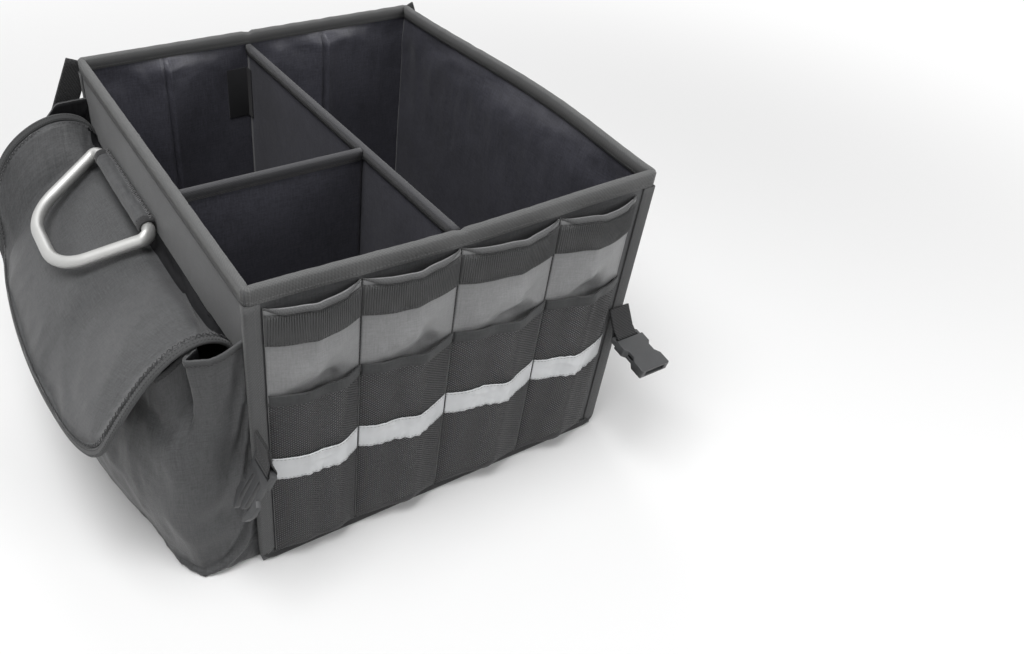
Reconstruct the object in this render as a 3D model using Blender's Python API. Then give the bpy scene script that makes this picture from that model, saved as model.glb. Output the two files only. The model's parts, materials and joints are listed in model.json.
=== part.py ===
"""Collapsible fabric car organizer: a boarded box with two dividers, four front pocket columns,
a gusseted side pocket under a bound flap, two D handles in fabric sleeves and webbing tabs.

X runs along the front from left to right, Y runs from front to back and Z points up.
The origin is the middle of the underside of the base.
"""

import math

import bmesh
import bpy
from mathutils import Matrix, Vector

# Box
BOX_WIDTH = 0.400
BOX_DEPTH = 0.446
BOX_HEIGHT = 0.324
WALL = 0.0045
GAP = 0.0003
FOLD_FROM_LEFT = 0.190
FOLD_GROOVE = 0.0010
FOLD_HALF_WIDTH = 0.0025
FRONT_DIP = 0.004
RIM_BOW = 0.012
RIM_BOW_HEIGHT = 0.055
RIM_BOW_SKEW = 0.78

# Binding tapes
TAPE = 0.0012
RIM_LEG_OUTSIDE = 0.013
RIM_LEG_INSIDE = 0.011
CORNER_FRONT_LEG = 0.0115
CORNER_SIDE_LEG = 0.006
CORNER_TAPE = 0.0015
BOTTOM_TAPE_HEIGHT = 0.009
BOTTOM_TAPE_LIFT = 0.001

# Base and dividers
BASE_CLOTH = 0.002
BOARD = 0.0035
BOARD_CLEARANCE = 0.0015
DIVIDER = 0.004
LONG_DIVIDER_FROM_LEFT = 0.1885
CROSS_DIVIDER_FROM_FRONT = 0.163
DIVIDER_DROP_FRONT = 0.006
DIVIDER_DROP_BACK = 0.015
CROSS_DIVIDER_DROP = 0.010
DIVIDER_TAPE_LEG = 0.009
TAB_WALL_LEG = 0.026
TAB_DIVIDER_LEG = 0.012
TAB_HEIGHT = 0.060
TAB_DROP = 0.040

# Front pockets, seams as shares of the box's width from its left edge
SEAM_SHARES = (0.03125, 0.2425, 0.475, 0.73125, 0.95375)
SEAM_HALF = 0.0008
FABRIC = 0.0012
FABRIC_DEPTH_LOW = 0.0054
FABRIC_DEPTH_TOP = 0.0095
POCKET_FOOT = 0.0105
MOUTH_BELOW_TAPE = 0.001
BELLY_POWER = 0.8
MESH = 0.0010
MESH_DEPTH = 0.0054
MESH_TOP = 0.204
HEM_HEIGHT = 0.012
HEM = 0.0022
FOOT_ROUNDING = 0.018
SWELL_LENGTH = 0.032
STRIP_HEIGHT = 0.030
STRIP = 0.0014
STRIP_BELOW_MOUTH = 0.002
BAND_BOTTOM = 0.115
BAND_HEIGHT = 0.026
BAND = 0.0006

# Side pocket and its flap, on the left wall
SIDE_CLOTH = 0.0015
SIDE_END_INSET = 0.0078
SIDE_LIFT = 0.0005
GUSSET_DEPTH = 0.057
GUSSET_SWELL = 0.009
SIDE_DEPTH = 0.087
SIDE_SWELL = 0.038
SIDE_SWELL_HEIGHT = 0.210
FRONT_GUSSET_DROP = 0.052
REAR_GUSSET_DROP = 0.041
GUSSET_SHARE = 0.14
FLAP = 0.0025
FLAP_DROP = 0.084
FLAP_FALL = 0.105
FLAP_REACH = 0.138
FLAP_REACH_LOSS = 0.020
FLAP_POWER = 1.45
FLAP_POWER_FRONT = 2.0
FLAP_POWER_REAR = 4.2
FLAP_FRONT_INSET = 0.030
FLAP_REAR_INSET = 0.019
FLAP_CORNER_FRONT = 0.052
FLAP_CORNER_REAR = 0.040
FLAP_CORNER_START = 0.55
FLAP_RISE = 0.035
FLAP_RISE_REACH = 0.120
FLAP_RISE_SKEW = 0.6
FLAP_TUCK = 0.006
BINDING_WIDTH = 0.008
BINDING = 0.0042

# Handles
ROD = 0.0125
ROD_CLEARANCE = 0.0005
SLEEVE_CLOTH = 0.0019
SLEEVE_LENGTH = 0.150
HANDLE_BEHIND_MIDDLE = 0.070
HANDLE_BASE = 0.180
HANDLE_GRIP = 0.100
HANDLE_REACH = 0.092
HANDLE_BEND_OUT = 0.050
HANDLE_BEND_IN = 0.008
HANDLE_REST_GAP = 0.0006

# Webbing tabs and the side release buckle
WEBBING_WIDTH = 0.025
WEBBING = 0.0013
BUCKLE_EYE = 0.0035
BUCKLE_BAR = 0.0036
BUCKLE_RAIL = 0.003
BUCKLE_SIDE_GAP = 0.0012
BUCKLE_PLATE = 0.005
PLUG_LENGTH = 0.056
SOCKET_LENGTH = 0.048
SOCKET_PLATE = 0.0105
SOCKET_SHELL = 0.002
PLUG_BAR_HEIGHT = 0.156
PLUG_TAB_RISE = 0.025
PLUG_TAB_HEIGHT = PLUG_BAR_HEIGHT + PLUG_TAB_RISE
PLUG_BAR_OUT = 0.020
PLUG_LEAN = math.radians(28)
SOCKET_BAR_HEIGHT = 0.146
SOCKET_TAB_RISE = 0.026
SOCKET_TAB_HEIGHT = SOCKET_BAR_HEIGHT + SOCKET_TAB_RISE
SOCKET_BAR_OUT = 0.020
SOCKET_BAR_FROM_RIGHT = 0.006
SOCKET_PITCH = math.radians(10)
REAR_TAB_LENGTH = 0.088
REAR_TAB_LEAN = math.radians(23)
REAR_TAB_EYE = 0.008
REAR_TAB_BELOW_RIM = 0.004

# Worked out from the sizes above
LEFT = -BOX_WIDTH / 2
RIGHT = BOX_WIDTH / 2
FRONT = -BOX_DEPTH / 2
BACK = BOX_DEPTH / 2
WALL_TOP = BOX_HEIGHT - TAPE - GAP
FOLD_X = LEFT + FOLD_FROM_LEFT
POCKET_SEAMS = [share * BOX_WIDTH for share in SEAM_SHARES]
BOARD_TOP = BASE_CLOTH + GAP + BOARD
DIVIDER_FOOT = BOARD_TOP + GAP
POCKET_TOP = WALL_TOP - FRONT_DIP - RIM_LEG_OUTSIDE - MOUTH_BELOW_TAPE
SEAM_Z = BOX_HEIGHT - FLAP_DROP
FLAP_FRONT = FRONT + FLAP_FRONT_INSET
FLAP_REAR = BACK - FLAP_REAR_INSET
SLEEVE_OUTSIDE = ROD / 2 + ROD_CLEARANCE + SLEEVE_CLOTH
AXIS_OUT = GAP + SLEEVE_OUTSIDE
AXIS_Z = SEAM_Z + FLAP / 2 + GAP + SLEEVE_OUTSIDE
HANDLE_Y = (FRONT + BACK) / 2 + HANDLE_BEHIND_MIDDLE
EYE_OUTSIDE = BUCKLE_EYE + WEBBING
BUCKLE_WIDTH = WEBBING_WIDTH + 2 * (BUCKLE_SIDE_GAP + BUCKLE_RAIL)
BUCKLE_BODY_START = EYE_OUTSIDE + BUCKLE_SIDE_GAP

# Looks: colour, roughness, metallic
LOOKS = {
    "outer_cloth": ((0.075, 0.076, 0.078), 0.62, 0.0),
    "inner_cloth": ((0.022, 0.022, 0.030), 0.50, 0.0),
    "tape": ((0.090, 0.092, 0.094), 0.75, 0.0),
    "loop_tape": ((0.055, 0.056, 0.057), 0.85, 0.0),
    "pocket_cloth": ((0.110, 0.112, 0.116), 0.42, 0.0),
    "mesh_cloth": ((0.030, 0.030, 0.031), 0.80, 0.0),
    "reflective": ((0.50, 0.51, 0.52), 0.38, 0.1),
    "webbing": ((0.045, 0.045, 0.046), 0.78, 0.0),
    "plastic": ((0.040, 0.041, 0.042), 0.45, 0.0),
    "aluminium": ((0.82, 0.82, 0.80), 0.30, 0.9),
    "board": ((0.018, 0.018, 0.022), 0.60, 0.0),
}


def clear_scene():
    """Remove whatever the file holds, so that each run gives the same result."""
    for obj in list(bpy.data.objects):
        bpy.data.objects.remove(obj, do_unlink=True)


def material_for(node, look):
    """A Principled material of the node's own."""
    colour, roughness, metallic = LOOKS[look]
    material = bpy.data.materials.new(node)
    material.use_nodes = True
    shader = material.node_tree.nodes["Principled BSDF"]
    shader.inputs["Base Color"].default_value = (*colour, 1.0)
    shader.inputs["Roughness"].default_value = roughness
    shader.inputs["Metallic"].default_value = metallic
    material.diffuse_color = (*colour, 1.0)
    return material


def add_object(name, look, points, faces):
    """A named object from points and faces, with its faces turned outward."""
    mesh = bpy.data.meshes.new(name)
    mesh.from_pydata([tuple(point) for point in points], [], faces)
    shape = bmesh.new()
    shape.from_mesh(mesh)
    bmesh.ops.recalc_face_normals(shape, faces=shape.faces)
    shape.to_mesh(mesh)
    shape.free()
    mesh.shade_smooth()
    mesh.set_sharp_from_angle(angle=math.radians(40))
    mesh.materials.append(material_for(name, look))
    obj = bpy.data.objects.new(name, mesh)
    bpy.context.scene.collection.objects.link(obj)
    return obj


def steps(start, end, count):
    """Evenly spaced values, both ends included."""
    return [start + (end - start) * index / count for index in range(count + 1)]


def blend(low, high, share):
    """Mix of two values."""
    return low + (high - low) * share


def smooth_step(value):
    """Rise from 0 to 1 with a level start and end."""
    value = min(1.0, max(0.0, value))
    return value * value * (3 - 2 * value)


def panel(name, look, across, up, outer, inner):
    """Closed solid between two surfaces, both functions of the same two values."""
    columns = len(across)
    rows = len(up)
    points = [outer(u, v) for v in up for u in across]
    points += [inner(u, v) for v in up for u in across]
    back = columns * rows
    faces = []
    for row in range(rows - 1):
        for column in range(columns - 1):
            a = row * columns + column
            quad = (a, a + 1, a + 1 + columns, a + columns)
            faces.append(quad)
            faces.append(tuple(back + index for index in reversed(quad)))
    border = [column for column in range(columns)]
    border += [row * columns + columns - 1 for row in range(1, rows)]
    border += [(rows - 1) * columns + column for column in range(columns - 2, -1, -1)]
    border += [row * columns for row in range(rows - 2, 0, -1)]
    for index, a in enumerate(border):
        b = border[(index + 1) % len(border)]
        faces.append((a, b, back + b, back + a))
    return add_object(name, look, points, faces)


def loft(name, look, sections, closed=False):
    """Solid through sections of equal point count, closed on itself or with flat ends."""
    count = len(sections[0])
    rings = len(sections)
    points = [point for section in sections for point in section]
    faces = []
    for ring in range(rings if closed else rings - 1):
        following = (ring + 1) % rings
        for index in range(count):
            other = (index + 1) % count
            faces.append((ring * count + index, ring * count + other,
                          following * count + other, following * count + index))
    if not closed:
        faces.append(tuple(reversed(range(count))))
        faces.append(tuple((rings - 1) * count + index for index in range(count)))
    return add_object(name, look, points, faces)


def box(name, look, low, high):
    """Plain block between two corners."""
    across = (low[0], high[0])
    up = (low[2], high[2])
    return panel(name, look, across, up,
                 lambda x, z: Vector((x, low[1], z)),
                 lambda x, z: Vector((x, high[1], z)))


def prism(name, look, outline, thickness):
    """Flat outline in local X and Y, with its thickness centred on local Z."""
    sections = [[Vector((x, y, z)) for x, y in outline] for z in (-thickness / 2, thickness / 2)]
    return loft(name, look, sections)


def cut(target, cutter):
    """Cut one object out of another, and keep the cutter as a hidden guide."""
    cutter.parent = target
    cutter.hide_render = True
    cutter.display_type = "WIRE"
    modifier = target.modifiers.new(cutter.name, "BOOLEAN")
    modifier.operation = "DIFFERENCE"
    modifier.object = cutter


def fold_inset(x):
    """Depth of the stitched fold line at a place along the front or back wall."""
    share = max(0.0, 1 - abs(x - FOLD_X) / FOLD_HALF_WIDTH)
    return FOLD_GROOVE * share


def front_dip(x):
    """How far the front rim sinks beside its fold."""
    reach = FOLD_X - LEFT
    return FRONT_DIP * smooth_step(1 - abs(x - FOLD_X) / reach)


def rim_bow(y, z):
    """How far the soft top of the right wall leans outward."""
    start = FRONT + CORNER_SIDE_LEG + GAP
    length = BOX_DEPTH - 2 * (CORNER_SIDE_LEG + GAP)
    share = min(1.0, max(0.0, (y - start) / length))
    height = (z - (WALL_TOP - RIM_BOW_HEIGHT)) / RIM_BOW_HEIGHT
    return RIM_BOW * math.sin(math.pi * share ** RIM_BOW_SKEW) ** 2 * smooth_step(height)


def wall_columns():
    """Places along the front and back wall where their mesh needs a column."""
    left = steps(LEFT, FOLD_X - FOLD_HALF_WIDTH, 4)
    right = steps(FOLD_X + FOLD_HALF_WIDTH, RIGHT, 4)
    return left + [FOLD_X] + right


def end_wall(name, face_y, inward, dip):
    """Front or back wall with its fold line, thickness measured inward from its outer face."""
    def outer(x, share):
        z = share * (WALL_TOP - dip(x))
        return Vector((x, face_y + inward * fold_inset(x), z))

    def inner(x, share):
        z = share * (WALL_TOP - dip(x))
        return Vector((x, face_y + inward * (WALL - fold_inset(x)), z))

    return panel(name, "outer_cloth", wall_columns(), (0.0, 1.0), outer, inner)


def side_places():
    """Places along the side walls where their mesh and the rim tape have a column."""
    return steps(FRONT + WALL + GAP, BACK - WALL - GAP, 14)


def side_wall(name, side):
    """Left or right wall between the end walls; the right one bows at its top."""
    bow_foot = WALL_TOP - RIM_BOW_HEIGHT
    heights = [0.0] + steps(bow_foot, WALL_TOP - RIM_LEG_OUTSIDE, 3) + [WALL_TOP]

    def face(y, z, depth):
        bow = rim_bow(y, z) if side > 0 else 0.0
        return Vector((side * (BOX_WIDTH / 2 - depth + bow), y, z))

    return panel(name, "outer_cloth", side_places(), heights,
                 lambda y, z: face(y, z, 0.0),
                 lambda y, z: face(y, z, WALL))


def build_walls():
    end_wall("front_wall", FRONT, 1, front_dip)
    end_wall("back_wall", BACK, -1, lambda x: 0.0)
    side_wall("left_wall", -1)
    side_wall("right_wall", 1)


def build_base():
    inset = WALL + GAP
    box("base_panel", "outer_cloth", (LEFT + inset, FRONT + inset, 0.0),
        (RIGHT - inset, BACK - inset, BASE_CLOTH))
    inset += BOARD_CLEARANCE
    across = [LEFT + inset, FOLD_X - FOLD_HALF_WIDTH, FOLD_X, FOLD_X + FOLD_HALF_WIDTH, RIGHT - inset]
    lengthwise = (FRONT + inset, BACK - inset)
    panel("base_board", "board", across, lengthwise,
          lambda x, y: Vector((x, y, BOARD_TOP - fold_inset(x))),
          lambda x, y: Vector((x, y, BASE_CLOTH + GAP)))


def rim_stations():
    """Points of the rim in plan, each with its inward direction and the wall top there."""
    stations = []
    front_row = wall_columns()
    for x in front_row[1:-1]:
        stations.append((Vector((x, FRONT)), Vector((0, 1)), WALL_TOP - front_dip(x)))
    stations.append((Vector((RIGHT, FRONT)), Vector((-1, 1)), WALL_TOP))
    for y in side_places()[1:-1]:
        stations.append((Vector((RIGHT + rim_bow(y, WALL_TOP), y)), Vector((-1, 0)), WALL_TOP))
    stations.append((Vector((RIGHT, BACK)), Vector((-1, -1)), WALL_TOP))
    for x in reversed(front_row[1:-1]):
        stations.append((Vector((x, BACK)), Vector((0, -1)), WALL_TOP))
    stations.append((Vector((LEFT, BACK)), Vector((1, -1)), WALL_TOP))
    for y in reversed(side_places()[1:-1]):
        stations.append((Vector((LEFT, y)), Vector((1, 0)), WALL_TOP))
    stations.append((Vector((LEFT, FRONT)), Vector((1, 1)), WALL_TOP))
    return stations


def channel_profile(thickness, leg_out, leg_in):
    """Section of a tape folded over an edge: pairs of inward offset and height above the edge."""
    outside = GAP + TAPE
    shoulder = GAP + TAPE / 2
    crest = GAP + TAPE
    return [
        (-outside, -leg_out), (-outside, shoulder), (-GAP, crest),
        (thickness + GAP, crest), (thickness + outside, shoulder), (thickness + outside, -leg_in),
        (thickness + GAP, -leg_in), (thickness + GAP, GAP), (-GAP, GAP), (-GAP, -leg_out),
    ]


def rim_leans(y, z, inward):
    """Extra outward shift of the tape's legs where the right wall bows."""
    return rim_bow(y, z) - rim_bow(y, WALL_TOP) if inward.x < 0 and inward.y == 0 else 0.0


def build_rim_binding():
    profile = channel_profile(WALL, RIM_LEG_OUTSIDE, RIM_LEG_INSIDE)
    sections = []
    for place, inward, top in rim_stations():
        section = []
        for offset, rise in profile:
            lean = rim_leans(place.y, top + rise, inward)
            spot = place + inward * (offset - lean)
            section.append(Vector((spot.x, spot.y, top + rise)))
        sections.append(section)
    loft("rim_binding", "tape", sections, closed=True)


def build_corner_bindings():
    low = BOTTOM_TAPE_LIFT + BOTTOM_TAPE_HEIGHT + GAP
    high = WALL_TOP - RIM_LEG_OUTSIDE - GAP
    for end_name, end_y, out_y in (("front", FRONT, -1), ("back", BACK, 1)):
        for side_name, side in (("left", -1), ("right", 1)):
            corner = side * BOX_WIDTH / 2
            near_x = corner + side * GAP
            far_x = near_x + side * CORNER_TAPE
            near_y = end_y + out_y * GAP
            far_y = near_y + out_y * CORNER_TAPE
            leg_x = corner - side * CORNER_FRONT_LEG
            leg_y = end_y - out_y * CORNER_SIDE_LEG
            outline = [(leg_x, near_y), (near_x, near_y), (near_x, leg_y),
                       (far_x, leg_y), (far_x, far_y), (leg_x, far_y)]
            sections = [[Vector((x, y, z)) for x, y in outline] for z in (low, high)]
            loft("corner_binding_%s_%s" % (end_name, side_name), "tape", sections)


def build_bottom_binding():
    """One tape along the foot of the front, right and back walls."""
    near = GAP
    far = GAP + TAPE
    low = BOTTOM_TAPE_LIFT
    high = BOTTOM_TAPE_LIFT + BOTTOM_TAPE_HEIGHT
    route = [(Vector((LEFT, FRONT)), Vector((0, -1))), (Vector((RIGHT, FRONT)), Vector((1, -1))),
             (Vector((RIGHT, BACK)), Vector((1, 1))), (Vector((LEFT, BACK)), Vector((0, 1)))]
    sections = []
    for place, outward in route:
        inner = place + outward * near
        outer = place + outward * far
        sections.append([Vector((inner.x, inner.y, low)), Vector((outer.x, outer.y, low)),
                         Vector((outer.x, outer.y, high)), Vector((inner.x, inner.y, high))])
    loft("bottom_binding", "tape", sections)


def divider_frame():
    """Ends and faces of the two dividers."""
    long_x = LEFT + LONG_DIVIDER_FROM_LEFT
    cross_y = FRONT + CROSS_DIVIDER_FROM_FRONT
    end_inset = WALL + 2 * GAP + TAPE
    return long_x, cross_y, end_inset


def long_divider_top(y):
    """The long divider sinks a little toward the back."""
    share = (y - FRONT) / BOX_DEPTH
    return BOX_HEIGHT - blend(DIVIDER_DROP_FRONT, DIVIDER_DROP_BACK, share)


def build_dividers():
    long_x, cross_y, inset = divider_frame()
    start = FRONT + inset
    end = BACK - inset
    half = DIVIDER / 2

    def long_face(y, share, x):
        return Vector((x, y, blend(DIVIDER_FOOT, long_divider_top(y), share)))

    lengthwise = steps(start, end, 4)
    panel("long_divider", "inner_cloth", lengthwise, (0.0, 1.0),
          lambda y, share: long_face(y, share, long_x - half),
          lambda y, share: long_face(y, share, long_x + half))
    profile = channel_profile(DIVIDER, DIVIDER_TAPE_LEG, DIVIDER_TAPE_LEG)
    sections = [[Vector((long_x - half + offset, y, long_divider_top(y) + rise)) for offset, rise in profile]
                for y in lengthwise]
    loft("long_divider_tape", "tape", sections)

    cross_start = LEFT + WALL + 2 * GAP + TAPE
    cross_end = long_x - half - 2 * GAP - TAPE
    top = BOX_HEIGHT - CROSS_DIVIDER_DROP
    box("cross_divider", "inner_cloth", (cross_start, cross_y - half, DIVIDER_FOOT),
        (cross_end, cross_y + half, top))
    sections = [[Vector((x, cross_y - half + offset, top + rise)) for offset, rise in profile]
                for x in (cross_start, cross_end)]
    loft("cross_divider_tape", "tape", sections)


def hook_tab(name, wall_axis, wall_face, wall_side, divider_face, divider_side):
    """Sewn hook and loop tab: one leg on the divider's face, the other on the wall it meets.

    wall_axis is 0 where the wall's face is an X plane and 1 where it is a Y plane.
    wall_side points from the wall into the box, divider_side from the divider to the tab.
    """
    near_wall = wall_face + wall_side * GAP
    off_wall = near_wall + wall_side * TAPE
    near_divider = divider_face + divider_side * GAP
    off_divider = near_divider + divider_side * TAPE
    leg_along_divider = wall_face + wall_side * TAB_DIVIDER_LEG
    leg_along_wall = divider_face + divider_side * TAB_WALL_LEG
    outline = [(near_wall, near_divider), (leg_along_divider, near_divider),
               (leg_along_divider, off_divider), (off_wall, off_divider),
               (off_wall, leg_along_wall), (near_wall, leg_along_wall)]
    high = BOX_HEIGHT - TAB_DROP
    low = high - TAB_HEIGHT
    sections = []
    for z in (low, high):
        if wall_axis == 0:
            sections.append([Vector((across, along, z)) for across, along in outline])
        else:
            sections.append([Vector((along, across, z)) for across, along in outline])
    loft(name, "loop_tape", sections)


def build_hook_tabs():
    long_x, cross_y, _ = divider_frame()
    half = DIVIDER / 2
    hook_tab("divider_tab_back", 1, BACK - WALL, -1, long_x - half, -1)
    hook_tab("divider_tab_front", 1, FRONT + WALL, 1, long_x + half, 1)
    hook_tab("divider_tab_left", 0, LEFT + WALL, 1, cross_y + half, 1)
    hook_tab("divider_tab_middle", 0, long_x - half, -1, cross_y + half, 1)


def belly(share):
    """Bulge across one pocket column, zero at both seams."""
    return max(0.0, math.sin(math.pi * share)) ** BELLY_POWER


def foot_rounding(z):
    """Quick rise from the sewn foot of a pocket."""
    share = min(1.0, max(0.0, (z - POCKET_FOOT) / FOOT_ROUNDING))
    return math.sqrt(1 - (1 - share) ** 2)


def fabric_standoff(share, z):
    """Distance from the front wall to the back of the cloth pocket."""
    hem_top = MESH_TOP + GAP + HEM_HEIGHT
    swell = smooth_step((z - hem_top) / SWELL_LENGTH)
    depth = blend(FABRIC_DEPTH_LOW, FABRIC_DEPTH_TOP, swell)
    return GAP + depth * belly(share) * foot_rounding(z)


def mesh_standoff(share, z):
    """Distance from the front wall to the back of the mesh pocket."""
    base = fabric_standoff(share, min(z, MESH_TOP)) + FABRIC + GAP
    return base + MESH_DEPTH * belly(share) * foot_rounding(z)


def column_sheet(name, look, column, heights, standoff, thickness):
    """Curved sheet across one pocket column, its back at the given standoff from the wall."""
    start = LEFT + POCKET_SEAMS[column] + SEAM_HALF
    end = LEFT + POCKET_SEAMS[column + 1] - SEAM_HALF

    def face(share, z, extra):
        return Vector((blend(start, end, share), FRONT - standoff(share, z) - extra, z))

    shares = [(1 - math.cos(math.pi * index / 10)) / 2 for index in range(11)]
    return panel(name, look, shares, heights,
                 lambda share, z: face(share, z, thickness),
                 lambda share, z: face(share, z, 0.0))


def build_front_pockets():
    foot_rows = [POCKET_FOOT + FOOT_ROUNDING * share for share in (0.0, 0.12, 0.4, 1.0)]
    hem_low = MESH_TOP + GAP
    hem_top = hem_low + HEM_HEIGHT
    swell_rows = steps(hem_top, hem_top + SWELL_LENGTH, 4)
    strip_top = POCKET_TOP - STRIP_BELOW_MOUTH
    strip_rows = steps(strip_top - STRIP_HEIGHT, strip_top, 2)

    def on_cloth(share, z):
        return fabric_standoff(share, z) + FABRIC + GAP

    def on_mesh(share, z):
        return mesh_standoff(share, z) + MESH + GAP

    for column in range(len(POCKET_SEAMS) - 1):
        number = column + 1
        column_sheet("fabric_pocket_%d" % number, "pocket_cloth", column,
                     foot_rows + swell_rows + [POCKET_TOP], fabric_standoff, FABRIC)
        column_sheet("loop_strip_%d" % number, "loop_tape", column, strip_rows, on_cloth, STRIP)
        column_sheet("mesh_pocket_%d" % number, "mesh_cloth", column,
                     foot_rows + [MESH_TOP], mesh_standoff, MESH)
        column_sheet("mesh_hem_%d" % number, "tape", column, (hem_low, hem_top), mesh_standoff, HEM)
        column_sheet("reflective_band_%d" % number, "reflective", column,
                     (BAND_BOTTOM, BAND_BOTTOM + BAND_HEIGHT), on_mesh, BAND)


def flap_reach(y):
    """How far the flap stands out at its lower edge."""
    middle = (FLAP_FRONT + FLAP_REAR) / 2
    share = (y - middle) / ((FLAP_REAR - FLAP_FRONT) / 2)
    return FLAP_REACH - FLAP_REACH_LOSS * share * share


def flap_lift(y):
    """0 below the handle and 1 at either end of the flap, where the gussets prop it up."""
    end = FLAP_FRONT if y < HANDLE_Y else FLAP_REAR
    flat_half = (HANDLE_BASE + ROD) / 2
    clear = abs(y - HANDLE_Y) - flat_half
    room = abs(end - HANDLE_Y) - flat_half
    return smooth_step(clear / room)


def flap_power(y):
    """How square the flap's fall is: it stays level for longer toward its ends."""
    end_power = FLAP_POWER_FRONT if y < HANDLE_Y else FLAP_POWER_REAR
    return blend(FLAP_POWER, end_power, flap_lift(y))


def flap_rise(y, out):
    """How far the propped ends of the flap stand above the line of its fall."""
    share = min(1.0, out / FLAP_RISE_REACH)
    return FLAP_RISE * flap_lift(y) * math.sin(math.pi * share ** FLAP_RISE_SKEW)


def flap_height(y, out):
    """Height of the flap's middle surface at a distance out from the left wall."""
    share = min(1.0, max(0.0, out / flap_reach(y)))
    power = flap_power(y)
    fall = (1 - share ** power) ** (1 / power)
    return SEAM_Z - FLAP_FALL + FLAP_FALL * fall + flap_rise(y, max(0.0, out))


def flap_ends(down):
    """First and last Y of the flap at a share of its way from the seam to its lower edge."""
    share = max(0.0, (down - FLAP_CORNER_START) / (1 - FLAP_CORNER_START))
    rounding = 1 - math.sqrt(max(0.0, 1 - share * share))
    return FLAP_FRONT + FLAP_CORNER_FRONT * rounding, FLAP_REAR - FLAP_CORNER_REAR * rounding


def flap_point(across, down):
    """Middle surface of the flap: across runs front to back, down runs seam to lower edge."""
    start, end = flap_ends(down)
    y = blend(start, end, across)
    angle = down * math.pi / 2
    out = flap_reach(y) * math.sin(angle) ** (2 / FLAP_POWER)
    return Vector((LEFT - GAP - out, y, flap_height(y, out)))


def flap_normal(across, down):
    """Outward direction of the flap."""
    step = 0.01
    low = min(across, 1 - step)
    up = min(max(down, step), 1 - step)
    along = flap_point(low + step, up) - flap_point(low, up)
    fall = flap_point(low, up + step) - flap_point(low, up)
    return fall.cross(along).normalized() * -1


def seam_flat(normal, down):
    """The seam edge is square to the wall, so that it meets the wall along its thickness."""
    return Vector((0, 0, 1)) if down == 0.0 else normal


def build_flap():
    rows = [0.0, 0.08, 0.18, 0.30, 0.42, 0.55, 0.66, 0.77, 0.86, 0.93]
    columns = steps(0.02, 0.98, 24)

    def face(across, down, side):
        point = flap_point(across, down)
        normal = seam_flat(flap_normal(across, down), down)
        return point + normal * side * FLAP / 2

    panel("pocket_flap", "outer_cloth", columns, rows,
          lambda across, down: face(across, down, 1),
          lambda across, down: face(across, down, -1))
    build_flap_binding(columns, rows)


def flap_border(columns, rows):
    """Free edge of the flap from the seam down, along the lower edge and back up."""
    border = [(columns[0], down) for down in rows[1:]]
    border += [(across, rows[-1]) for across in columns[1:-1]]
    border += [(columns[-1], down) for down in reversed(rows[1:])]
    return border


def build_flap_binding(columns, rows):
    """Bound edge: a flattened cord of cloth beside the flap's free edge."""
    border = flap_border(columns, rows)
    places = [flap_point(*spot) for spot in border]
    sections = []
    for index, spot in enumerate(border):
        before = places[max(0, index - 1)]
        after = places[min(len(places) - 1, index + 1)]
        along = (after - before).normalized()
        normal = flap_normal(*spot)
        outward = normal.cross(along).normalized()
        normal = along.cross(outward).normalized()
        centre = places[index] + outward * (GAP + FLAP / 4 + BINDING_WIDTH / 2)
        section = []
        for corner in range(8):
            angle = math.pi / 8 + corner * math.pi / 4
            section.append(centre + outward * math.cos(angle) * BINDING_WIDTH / 2
                           + normal * math.sin(angle) * BINDING / 2)
        sections.append(section)
    loft("flap_binding", "tape", sections)


def side_reach(y, z):
    """How far the side pocket stands out from the left wall."""
    start = FRONT + SIDE_END_INSET
    end = BACK - SIDE_END_INSET
    along = min(1.0, max(0.0, (y - start) / (end - start)))
    swell = math.sin(math.pi * min(1.0, max(0.0, z / SIDE_SWELL_HEIGHT)))
    ends = GUSSET_DEPTH + GUSSET_SWELL * swell
    middle = SIDE_DEPTH + SIDE_SWELL * swell
    return blend(ends, middle, math.sin(math.pi * along) ** 0.7)


def side_plan(share, z):
    """Plan of the side pocket's cloth at one height, from the front corner round to the back."""
    start = FRONT + SIDE_END_INSET
    end = BACK - SIDE_END_INSET
    if share < GUSSET_SHARE:
        out = side_reach(start, z) * share / GUSSET_SHARE
        return out, start
    if share > 1 - GUSSET_SHARE:
        out = side_reach(end, z) * (1 - share) / GUSSET_SHARE
        return out, end
    y = blend(start, end, (share - GUSSET_SHARE) / (1 - 2 * GUSSET_SHARE))
    return side_reach(y, z), y


def mouth_height(share):
    """Top of the side pocket's cloth: open at both gussets, tucked under the flap between them."""
    if share <= GUSSET_SHARE:
        return BOX_HEIGHT - FRONT_GUSSET_DROP
    if share >= 1 - GUSSET_SHARE / 2:
        return BOX_HEIGHT - REAR_GUSSET_DROP
    height = SIDE_LIFT
    step = 0.001
    while height < SEAM_Z + FLAP_RISE:
        reach, y = side_plan(share, height + step)
        if height + step > flap_height(min(y, FLAP_REAR), reach) - BINDING / 2 - FLAP_TUCK:
            break
        height += step
    return height


def side_shares():
    """Steps round the side pocket: two on each gusset and a row along the outer cloth."""
    front = [0.0, GUSSET_SHARE / 2]
    outer = steps(GUSSET_SHARE, 1 - GUSSET_SHARE, 16)
    return front + outer + [1 - GUSSET_SHARE / 2, 1.0]


def build_side_pocket():
    shares = side_shares()
    rows = (0.0, 0.02, 0.08, 0.2, 0.36, 0.52, 0.68, 0.84, 1.0)
    points = []
    for row in rows:
        for share in shares:
            z = blend(SIDE_LIFT, mouth_height(share), row)
            out, y = side_plan(share, z)
            points.append(Vector((LEFT - GAP - out, y, z)))
    columns = len(shares)
    faces = [tuple(range(columns))]
    for row in range(len(rows) - 1):
        for column in range(columns - 1):
            a = row * columns + column
            faces.append((a, a + 1, a + 1 + columns, a + columns))
    obj = add_object("side_pocket", "outer_cloth", points, faces)
    solidify = obj.modifiers.new("cloth", "SOLIDIFY")
    solidify.thickness = SIDE_CLOTH
    solidify.offset = -1
    solidify.use_even_offset = True


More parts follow.
